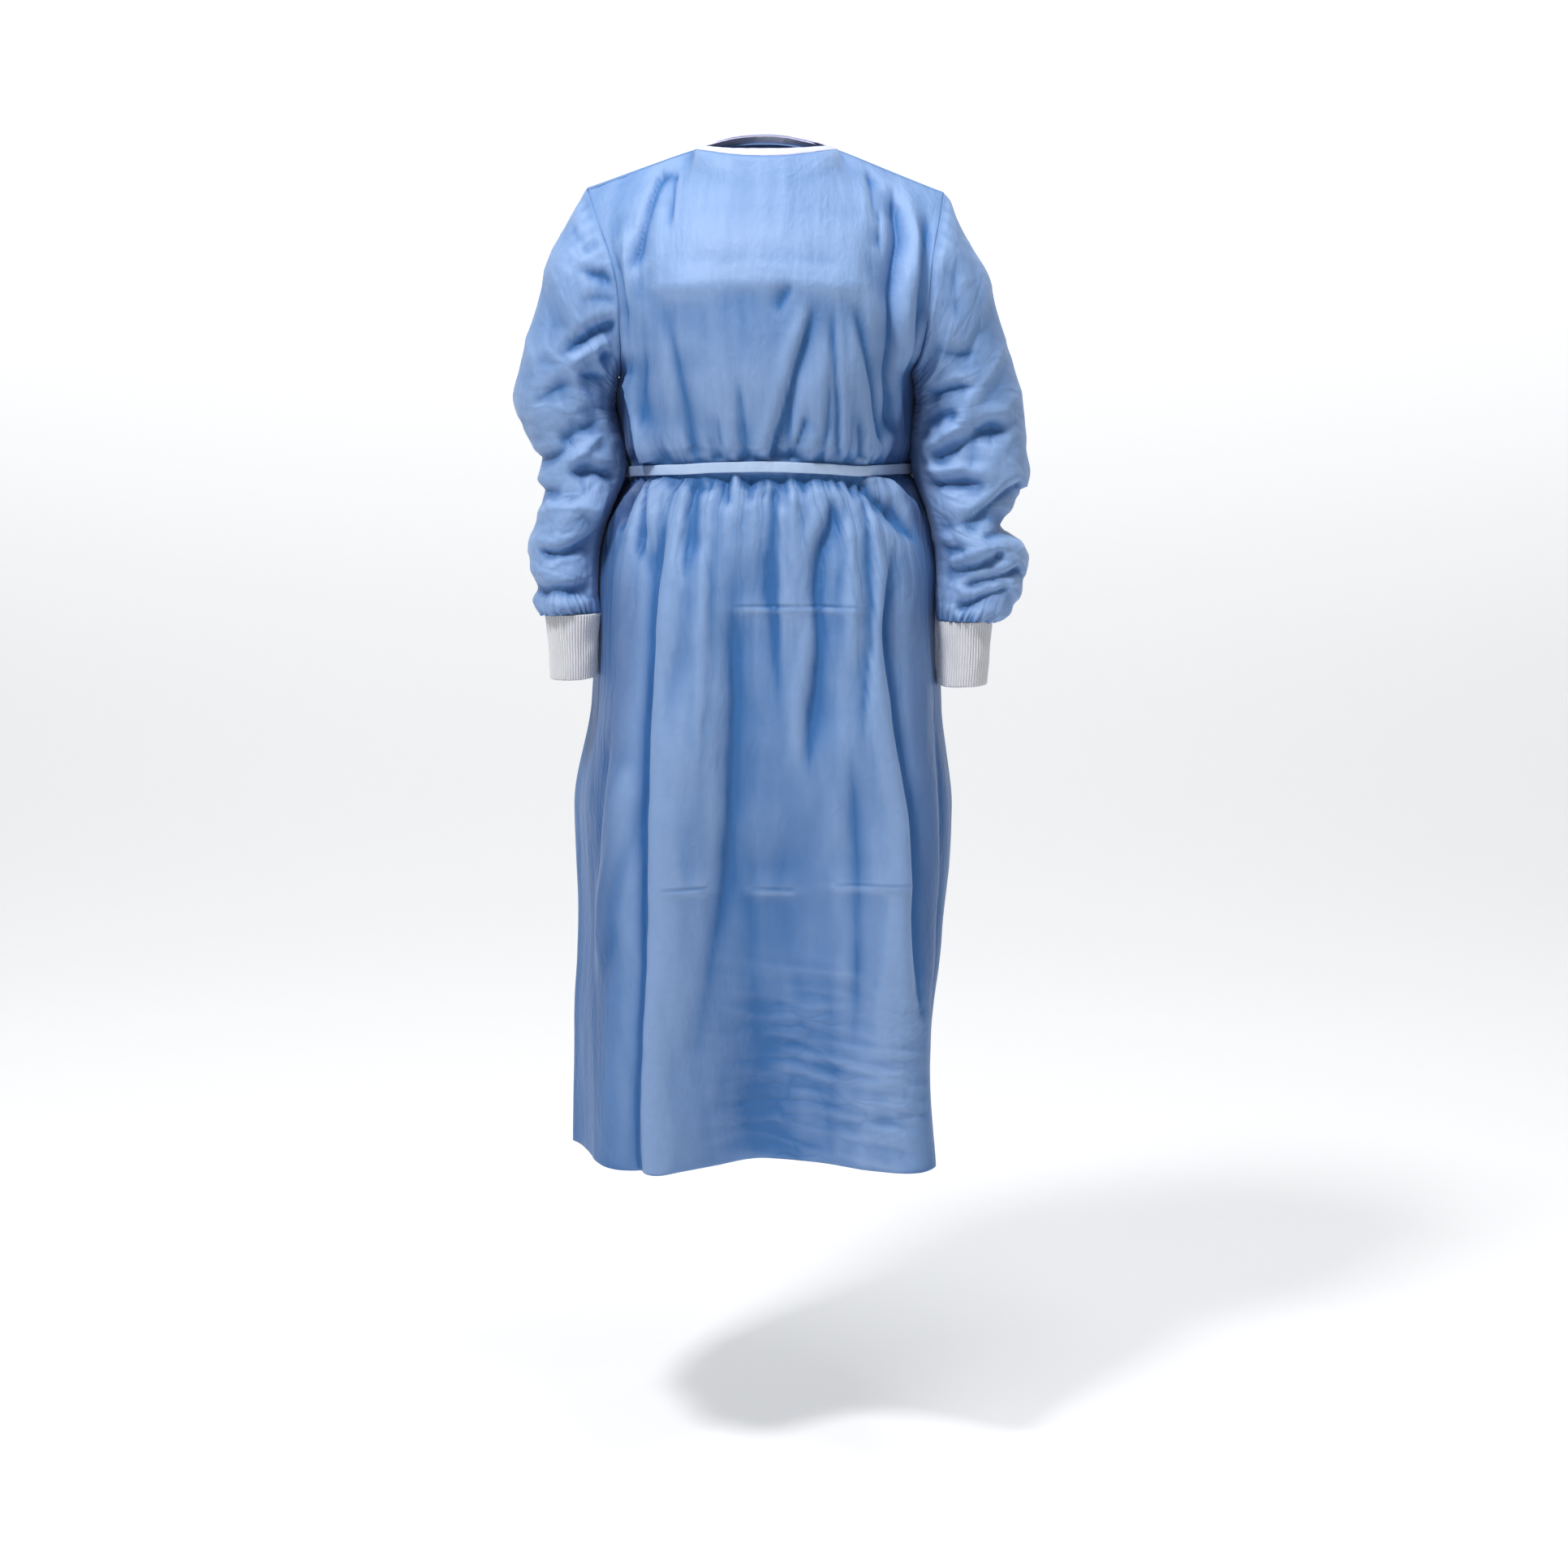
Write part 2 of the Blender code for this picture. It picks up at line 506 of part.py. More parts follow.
# ---------------------------------------------------------------- sleeves and cuffs
def sleeve(name, rings, side):
    """A tube from the armhole's own points to the wrist; its first column is the outer one, then the front."""
    k_front = 0 if side < 0 else -1
    k_back = -1 if side < 0 else 0
    back_grid, back_out = (right_grid, right_out) if side < 0 else (left_grid, left_out)
    down = front_grid[: ARMHOLE_ROWS + 1, k_front]
    up = back_grid[: ARMHOLE_ROWS + 1, k_back][::-1]
    loop = np.concatenate([[(down[0] + up[-1]) / 2], down[1:-1], [(down[-1] + up[0]) / 2], up[1:-1]])
    ways = np.concatenate([front_out[: ARMHOLE_ROWS + 1, k_front], back_out[: ARMHOLE_ROWS + 1, k_back][::-1][1:-1]])
    loop = loop + np.array([side * GAP, 0.0, 0.0])
    count = len(loop)
    grid = [loop]
    for row in rings.values():
        ring = dict(zip(RING_COLUMNS, row))
        outer = np.array([ring["x_outer"], ring["y_middle"], ring["z_outer"]])
        inner = np.array([ring["x_inner"], ring["y_middle"], ring["z_inner"]])
        middle, half = (outer + inner) / 2, (outer - inner) / 2
        points = []
        for j in range(count):
            turn = 2 * math.pi * j / count
            across, deep = math.cos(turn), math.sin(turn)
            points.append(middle + half * across + np.array([0.0, -ring["half_depth"] * deep, 0.0]))
        grid.append(np.array(points))
    grid = np.array(grid)
    if side > 0:
        grid, ways = np.roll(grid[:, ::-1], 1, 1), np.roll(ways[::-1], 1, 0)
    out = grid_normals(grid, closed=True)
    flip = np.array([side * -1.0, 1.0, 1.0])
    for j in range(count):
        own = smooth((-ways[j][2] - 0.3) / 0.7)
        out[0, j] = unit(ways[j] * (flip if own > 0 else 1.0))
    out[-1] = [unit([v[0], v[1], 0.0]) for v in out[-1]]
    add(name, *wall(grid, -out * WALL, closed=True), cloth)


sleeve("sleeve_right", SLEEVE_RIGHT, -1)
sleeve("sleeve_left", SLEEVE_LEFT, 1)


def cuff(name, table, count=18):
    rows = []
    for row in table.values():
        ring = dict(zip(CUFF_COLUMNS, row))
        turns = [2 * math.pi * j / count for j in range(count)]
        rows.append([
            (ring["x_middle"] + ring["half_width"] * math.cos(t), CUFF_Y + ring["half_depth"] * math.sin(t), ring["z"])
            for t in turns
        ])
    grid = np.array(rows)
    out = grid_normals(grid, closed=True)
    for r in (0, -1):
        out[r] = [unit([v[0], v[1], 0.0]) for v in out[r]]
    add(name, *wall(grid, -out * CUFF_WALL, closed=True), knit)


cuff("cuff_right", CUFF_RIGHT)
cuff("cuff_left", CUFF_LEFT)

# ---------------------------------------------------------------- neck binding
# It stands on the panels' neck edges, from the lower back's free edge round the front to the upper back's.
stations = []
for grid, out, order, facing in ((right_grid, right_out, right_s, 1), (front_grid, front_out, front_s, -1), (left_grid, left_out, left_s, 1)):
    picked = [(s, c) for c, s in enumerate(order) if abs(s) < NECK_S + 1e-6]
    if facing > 0:
        picked = [(s, c) for s, c in picked]
    run = [(grid[0, c], out[0, c], s, facing) for s, c in picked]
    stations.append(run)
lower, middle, upper = stations
route = lower + middle[1:] + upper[1:]
if np.linalg.norm(lower[-1][0] - middle[0][0]) > 0.002 or np.linalg.norm(middle[-1][0] - upper[0][0]) > 0.002:
    raise SystemExit("the binding's route is broken")
outer_rows = []
ways = []
for point, out, s, facing in route:
    inward = unit([-point[0], -point[1], 0.0])
    side = smooth(abs(point[0]) / NECK_HALF_WIDTH)
    up = unit(inward * (0.45 + 0.45 * side) + np.array([0.0, 0.0, 0.88 - 0.42 * side]))
    foot = point + up * GAP
    outer_rows.append([foot + up * (BINDING_HEIGHT - GAP), foot])
    ways.append([unit(out - up * np.dot(out, up)), out])
binding_grid = np.array(outer_rows).transpose(1, 0, 2)
binding_ways = np.array(ways).transpose(1, 0, 2)
add("neck_binding", *wall(binding_grid, -binding_ways * WALL), binding_tape)

# ---------------------------------------------------------------- belt
belt_row = ARMHOLE_ROWS + sum(ROWS_BELOW[n] for n in ("rib", "blouse", "belt_top"))


def belt_run(grid, out, order, keep):
    run = []
    for c, s in enumerate(order):
        if keep(s):
            middle = (grid[belt_row, c] + grid[belt_row + 1, c]) / 2
            flat = unit([out[belt_row, c][0] + out[belt_row + 1, c][0], out[belt_row, c][1] + out[belt_row + 1, c][1], 0.0])
            run.append((middle, flat))
    return run


ring = belt_run(front_grid, front_out, front_s, lambda s: True)
ring += belt_run(left_grid, left_out, left_s, lambda s: s < 0.99)
ring += belt_run(right_grid, right_out, right_s, lambda s: -0.99 < s < -LAP_S - 0.05)
belt_points = []
for middle, flat in ring:
    face = middle + flat * (BELT_CLEAR + BELT_THICK)
    belt_points.append([face + np.array([0, 0, BELT_WIDTH / 2]), face - np.array([0, 0, BELT_WIDTH / 2])])
belt_grid = np.array(belt_points).transpose(1, 0, 2)
belt_in = np.array([[-flat * BELT_THICK] * 2 for _, flat in ring]).transpose(1, 0, 2)
add("belt", *wall(belt_grid, belt_in, closed=True), belt_cloth)

# The knot at centre back, outside the belt, and the two free ends below it.
at_back = min(ring, key=lambda item: abs(item[0][0]) - (1.0 if item[0][1] > 0 else 0.0))
KNOT = (0.020, 0.010, 0.017)
knot_middle = at_back[0] + at_back[1] * (BELT_CLEAR + BELT_THICK + GAP + KNOT[1] / 2 + 0.0003)


def rounded_block(name, middle, size, finish, rings=5, count=12, power=0.55):
    rows = []
    for r in range(1, rings):
        tilt = math.pi * r / rings
        high, wide = math.cos(tilt), math.sin(tilt)
        row = []
        for j in range(count):
            turn = 2 * math.pi * j / count
            x, y = wide * math.cos(turn), wide * math.sin(turn)
            row.append([math.copysign(abs(v) ** power, v) * size[k] / 2 + middle[k] for k, v in enumerate((x, y, high))])
        rows.append(row)
    grid = np.array(rows)
    points = list(grid.reshape(-1, 3)) + [middle + np.array([0, 0, size[2] / 2]), middle - np.array([0, 0, size[2] / 2])]
    faces = []
    last = len(rows) - 1
    for r in range(last):
        for c in range(count):
            n = (c + 1) % count
            a, b, d, e = r * count + c, r * count + n, (r + 1) * count + c, (r + 1) * count + n
            faces += [(a, d, e), (a, e, b)]
    for c in range(count):
        n = (c + 1) % count
        faces += [(len(points) - 2, c, n), (len(points) - 1, last * count + n, last * count + c)]
    add(name, np.array(points), faces, finish)


rounded_block("belt_knot", knot_middle, KNOT, belt_cloth)

# Each tail lies on the upper back, made from its points moved out. s at its head and foot, and its length.
TAIL_COLUMNS = ("s_head", "s_foot", "length")
TAILS = {"belt_tail_left": (0.035, 0.085, 0.250), "belt_tail_right": (-0.035, -0.055, 0.285)}
TAIL_THICK = 0.0016
TAIL_CLEAR = 0.0030
for name, row in TAILS.items():
    tail = dict(zip(TAIL_COLUMNS, row))
    start = -(knot_middle[2] - KNOT[2] / 2 - 0.0115)
    outer_rows, in_rows = [], []
    steps = 12
    for k in range(steps + 1):
        t = k / steps
        depth = start + tail["length"] * t
        s = tail["s_head"] + (tail["s_foot"] - tail["s_head"]) * smooth(t)
        point, out = back.point(s, depth), back.face(s, depth)
        lift = lap_rise(s) + TAIL_CLEAR + TAIL_THICK + 0.004 * (1 - smooth(t / 0.25))
        middle = point + out * lift
        half = np.array([BELT_WIDTH / 2, 0.0, 0.0])
        outer_rows.append([middle + half, middle - half])
        in_rows.append([-out * TAIL_THICK, -out * TAIL_THICK])
    add(name, *wall(np.array(outer_rows), np.array(in_rows)), belt_cloth)
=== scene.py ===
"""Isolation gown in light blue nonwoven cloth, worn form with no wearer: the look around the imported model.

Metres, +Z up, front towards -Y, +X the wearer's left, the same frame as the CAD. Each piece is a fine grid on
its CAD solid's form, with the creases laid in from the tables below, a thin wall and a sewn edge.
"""

import math

import bpy
import numpy as np
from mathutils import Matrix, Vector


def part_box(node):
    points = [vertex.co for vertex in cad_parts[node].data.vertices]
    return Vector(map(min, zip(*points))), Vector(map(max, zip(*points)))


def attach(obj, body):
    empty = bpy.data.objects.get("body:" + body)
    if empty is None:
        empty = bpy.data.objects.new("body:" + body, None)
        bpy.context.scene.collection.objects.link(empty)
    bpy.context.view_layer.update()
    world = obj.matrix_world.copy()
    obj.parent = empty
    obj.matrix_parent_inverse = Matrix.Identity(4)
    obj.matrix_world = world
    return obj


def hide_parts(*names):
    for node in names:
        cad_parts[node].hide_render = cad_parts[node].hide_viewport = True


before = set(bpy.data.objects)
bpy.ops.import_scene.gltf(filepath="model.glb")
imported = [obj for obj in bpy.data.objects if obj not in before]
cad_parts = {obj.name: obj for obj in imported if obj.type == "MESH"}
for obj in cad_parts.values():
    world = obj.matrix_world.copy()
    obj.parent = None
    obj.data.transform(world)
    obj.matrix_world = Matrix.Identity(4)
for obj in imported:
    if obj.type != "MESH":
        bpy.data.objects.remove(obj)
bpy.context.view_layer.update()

# ---------------------------------------------------------------- the construction's sizes and sections
NECK_HALF_WIDTH = 0.0765  # high point of the shoulder, from the midline
NECK_FRONT = (-0.070, -0.012)  # y, z of the neckline at centre front
NECK_BACK = (0.055, 0.008)  # y, z of the neckline at centre back
NECK_S = 0.48  # s of the high point of the shoulder
FOLD_S = 0.6  # s of the fold columns
SHOULDER_RIGHT = (-0.194, -0.041)  # x, z of the shoulder point
SHOULDER_LEFT = (0.189, -0.045)
NECK_EASE = 0.13  # depth over which the panels take up the shape of the neckline
LAP_S = 0.24  # how far each back passes centre back
LAP_RISE = 0.0048  # the upper back stands this far out of the lower one
BINDING_HEIGHT = 0.009
BELT_WIDTH = 0.011
BELT_THICK = 0.0020
BELT_CLEAR = 0.0016  # belt off the cloth
CUFF_WALL = 0.0022
HEM = -1.091

# Sections of the panels, from the neck down: the height at the midline, the two fold columns that carry the
# panel's long folds, and the midline. lean_right turns the right side in towards its fold at the seam.
COLUMNS = ("z_mid", "x_fold_right", "y_fold_right", "y_mid", "x_fold_left", "y_fold_left", "lean_right")
FRONT = {
    "neck": (-0.012, -0.110, -0.012, -0.070, 0.108, -0.012, 0.00),
    "yoke": (-0.050, -0.112, -0.076, -0.092, 0.112, -0.076, 0.00),
    "chest": (-0.100, -0.109, -0.104, -0.119, 0.114, -0.102, 0.00),
    "bust": (-0.150, -0.107, -0.114, -0.134, 0.116, -0.110, 0.00),
    "pit": (-0.200, -0.107, -0.112, -0.137, 0.113, -0.108, 0.00),
    "underarm": (-0.240, -0.107, -0.106, -0.136, 0.109, -0.104, 0.00),
    "rib": (-0.288, -0.104, -0.098, -0.130, 0.106, -0.097, 0.00),
    "blouse": (-0.314, -0.100, -0.092, -0.123, 0.103, -0.092, 0.00),
    "belt_top": (-0.328, -0.092, -0.084, -0.113, 0.096, -0.084, 0.00),
    "belt_foot": (-0.342, -0.092, -0.084, -0.113, 0.096, -0.084, 0.00),
    "flare": (-0.362, -0.103, -0.094, -0.121, 0.107, -0.093, 0.00),
    "hip": (-0.405, -0.115, -0.110, -0.128, 0.122, -0.106, 0.00),
    "seat": (-0.455, -0.119, -0.125, -0.133, 0.129, -0.114, 0.00),
    "thigh": (-0.515, -0.120, -0.136, -0.136, 0.129, -0.120, 0.00),
    "upper_skirt": (-0.600, -0.121, -0.146, -0.136, 0.139, -0.127, 0.01),
    "knee": (-0.720, -0.1235, -0.154, -0.131, 0.154, -0.134, 0.03),
    "shin": (-0.850, -0.129, -0.158, -0.122, 0.160, -0.140, 0.05),
    "lower_skirt": (-0.960, -0.136, -0.157, -0.110, 0.161, -0.143, 0.06),
    "hem": (HEM, -0.139, -0.155, -0.094, 0.173, -0.147, 0.07),
}
BACK = {
    "neck": (0.008, -0.110, 0.010, 0.055, 0.108, 0.010, 0.00),
    "yoke": (-0.042, -0.112, 0.062, 0.078, 0.112, 0.062, 0.00),
    "chest": (-0.095, -0.108, 0.094, 0.101, 0.110, 0.094, 0.00),
    "bust": (-0.148, -0.106, 0.105, 0.112, 0.109, 0.105, 0.00),
    "pit": (-0.200, -0.106, 0.104, 0.113, 0.108, 0.104, 0.00),
    "underarm": (-0.240, -0.107, 0.099, 0.112, 0.107, 0.099, 0.00),
    "rib": (-0.288, -0.106, 0.096, 0.110, 0.107, 0.096, 0.00),
    "blouse": (-0.316, -0.103, 0.092, 0.106, 0.105, 0.092, 0.00),
    "belt_top": (-0.338, -0.090, 0.078, 0.095, 0.093, 0.078, 0.00),
    "belt_foot": (-0.352, -0.090, 0.078, 0.095, 0.093, 0.078, 0.00),
    "flare": (-0.372, -0.102, 0.090, 0.104, 0.104, 0.090, 0.00),
    "hip": (-0.412, -0.115, 0.107, 0.119, 0.117, 0.107, 0.00),
    "seat": (-0.459, -0.122, 0.118, 0.130, 0.123, 0.118, 0.00),
    "thigh": (-0.517, -0.127, 0.127, 0.138, 0.128, 0.127, 0.00),
    "upper_skirt": (-0.601, -0.135, 0.136, 0.145, 0.135, 0.136, 0.00),
    "knee": (-0.720, -0.145, 0.142, 0.150, 0.143, 0.142, 0.00),
    "shin": (-0.850, -0.150, 0.145, 0.152, 0.143, 0.145, 0.00),
    "lower_skirt": (-0.960, -0.152, 0.147, 0.153, 0.140, 0.147, 0.00),
    "hem": (HEM, -0.154, 0.149, 0.154, 0.138, 0.149, 0.00),
}
# The panels' edges: the armholes from the shoulder down, then the side seams. The side seams run a little
# behind the arms, where the cloth is widest.
EDGE_COLUMNS = ("z_edge", "x_right", "y_edge", "x_left")
FRONT_ARMHOLE = {
    "neck": (-0.043, -0.194, 0.000, 0.189),
    "yoke": (-0.086, -0.176, -0.043, 0.182),
    "chest": (-0.126, -0.162, -0.065, 0.175),
    "bust": (-0.168, -0.157, -0.070, 0.171),
    "pit": (-0.216, -0.156, -0.046, 0.165),
}
BACK_ARMHOLE = {
    "neck": (-0.043, -0.194, 0.000, 0.189),
    "yoke": (-0.086, -0.173, 0.042, 0.178),
    "chest": (-0.126, -0.159, 0.067, 0.168),
    "bust": (-0.168, -0.154, 0.073, 0.162),
    "pit": (-0.216, -0.154, 0.048, 0.160),
}
SIDE_SEAM = {
    "underarm": (-0.243, -0.157, 0.000, 0.158),
    "rib": (-0.257, -0.1682, 0.032, 0.1678),
    "blouse": (-0.318, -0.1690, 0.052, 0.1700),
    "belt_top": (-0.341, -0.1630, 0.053, 0.1665),
    "belt_foot": (-0.355, -0.1630, 0.053, 0.1665),
    "flare": (-0.371, -0.1740, 0.055, 0.1770),
    "hip": (-0.412, -0.1905, 0.054, 0.1915),
    "seat": (-0.459, -0.1955, 0.052, 0.1960),
    "thigh": (-0.517, -0.1935, 0.050, 0.1930),
    "upper_skirt": (-0.601, -0.1960, 0.046, 0.1925),
    "knee": (-0.720, -0.2165, 0.032, 0.2045),
    "shin": (-0.850, -0.2125, 0.006, 0.193),
    "lower_skirt": (-0.960, -0.2155, -0.012, 0.180),
    "hem": (HEM, -0.2185, -0.022, 0.177),
}

# Rings of the sleeves below the armhole, from the shoulder down: the outer and the inner point of each ring
# in x and z, the middle's y, and half the ring's depth along y.
RING_COLUMNS = ("x_outer", "z_outer", "x_inner", "z_inner", "y_middle", "half_depth")
SLEEVE_RIGHT = {
    "head": (-0.2200, -0.083, -0.1592, -0.2450, 0.000, 0.070),
    "cap": (-0.2400, -0.125, -0.1606, -0.2530, 0.001, 0.068),
    "upper_arm": (-0.2510, -0.170, -0.1622, -0.2620, 0.001, 0.064),
    "mid_arm": (-0.2650, -0.218, -0.1635, -0.2710, 0.002, 0.062),
    "elbow_puff": (-0.2765, -0.262, -0.1625, -0.2850, 0.003, 0.060),
    "elbow": (-0.2670, -0.296, -0.1585, -0.3030, 0.005, 0.060),
    "under_elbow": (-0.2530, -0.332, -0.1540, -0.3260, 0.001, 0.057),
    "pinch": (-0.2465, -0.362, -0.1560, -0.3510, -0.005, 0.054),
    "fore_arm": (-0.2500, -0.390, -0.1690, -0.3800, -0.011, 0.053),
    "low_puff": (-0.2605, -0.418, -0.1790, -0.4100, -0.017, 0.053),
    "puff_foot": (-0.2600, -0.440, -0.1840, -0.4380, -0.022, 0.050),
    "gather": (-0.2510, -0.464, -0.1850, -0.4640, -0.029, 0.045),
    "wrist_roll": (-0.2500, -0.480, -0.1845, -0.4800, -0.032, 0.042),
    "wrist": (-0.2420, -0.4940, -0.1810, -0.4940, -0.034, 0.0385),
}
SLEEVE_LEFT = {
    "head": (0.2140, -0.091, 0.1602, -0.2450, 0.000, 0.070),
    "cap": (0.2380, -0.130, 0.1616, -0.2530, 0.001, 0.068),
    "upper_arm": (0.2510, -0.176, 0.1626, -0.2620, 0.001, 0.064),
    "mid_arm": (0.2660, -0.228, 0.1626, -0.2730, 0.002, 0.062),
    "elbow_puff": (0.2785, -0.276, 0.1590, -0.2900, 0.006, 0.063),
    "elbow": (0.2820, -0.318, 0.1560, -0.3170, 0.004, 0.062),
    "under_elbow": (0.2835, -0.348, 0.1575, -0.3430, -0.001, 0.060),
    "pinch": (0.2700, -0.378, 0.1640, -0.3640, -0.006, 0.057),
    "fore_arm": (0.2590, -0.399, 0.1730, -0.3860, -0.012, 0.055),
    "low_puff": (0.2800, -0.428, 0.1805, -0.4150, -0.018, 0.056),
    "puff_foot": (0.2805, -0.452, 0.1835, -0.4430, -0.023, 0.053),
    "gather": (0.2740, -0.472, 0.1840, -0.4680, -0.030, 0.047),
    "wrist_roll": (0.2600, -0.490, 0.1845, -0.4860, -0.032, 0.042),
    "wrist": (0.2450, -0.5030, 0.1850, -0.5030, -0.034, 0.0385),
}
# Cuffs: middle in x, height, half-width along x and half-depth along y.
CUFF_COLUMNS = ("x_middle", "z", "half_width", "half_depth")
CUFF_RIGHT = {
    "seam": (-0.2115, -0.4944, 0.0300, 0.0378),
    "middle": (-0.2120, -0.5260, 0.0268, 0.0350),
    "end": (-0.2125, -0.5650, 0.0255, 0.0335),
}
CUFF_LEFT = {
    "seam": (0.2150, -0.5034, 0.0295, 0.0378),
    "middle": (0.2140, -0.5350, 0.0282, 0.0352),
    "end": (0.2120, -0.5740, 0.0275, 0.0340),
}
CUFF_Y = -0.034

CLOTH = 0.0006  # the cloth's own thickness
SIMPLE = 0.0040  # usual spacing of a grid

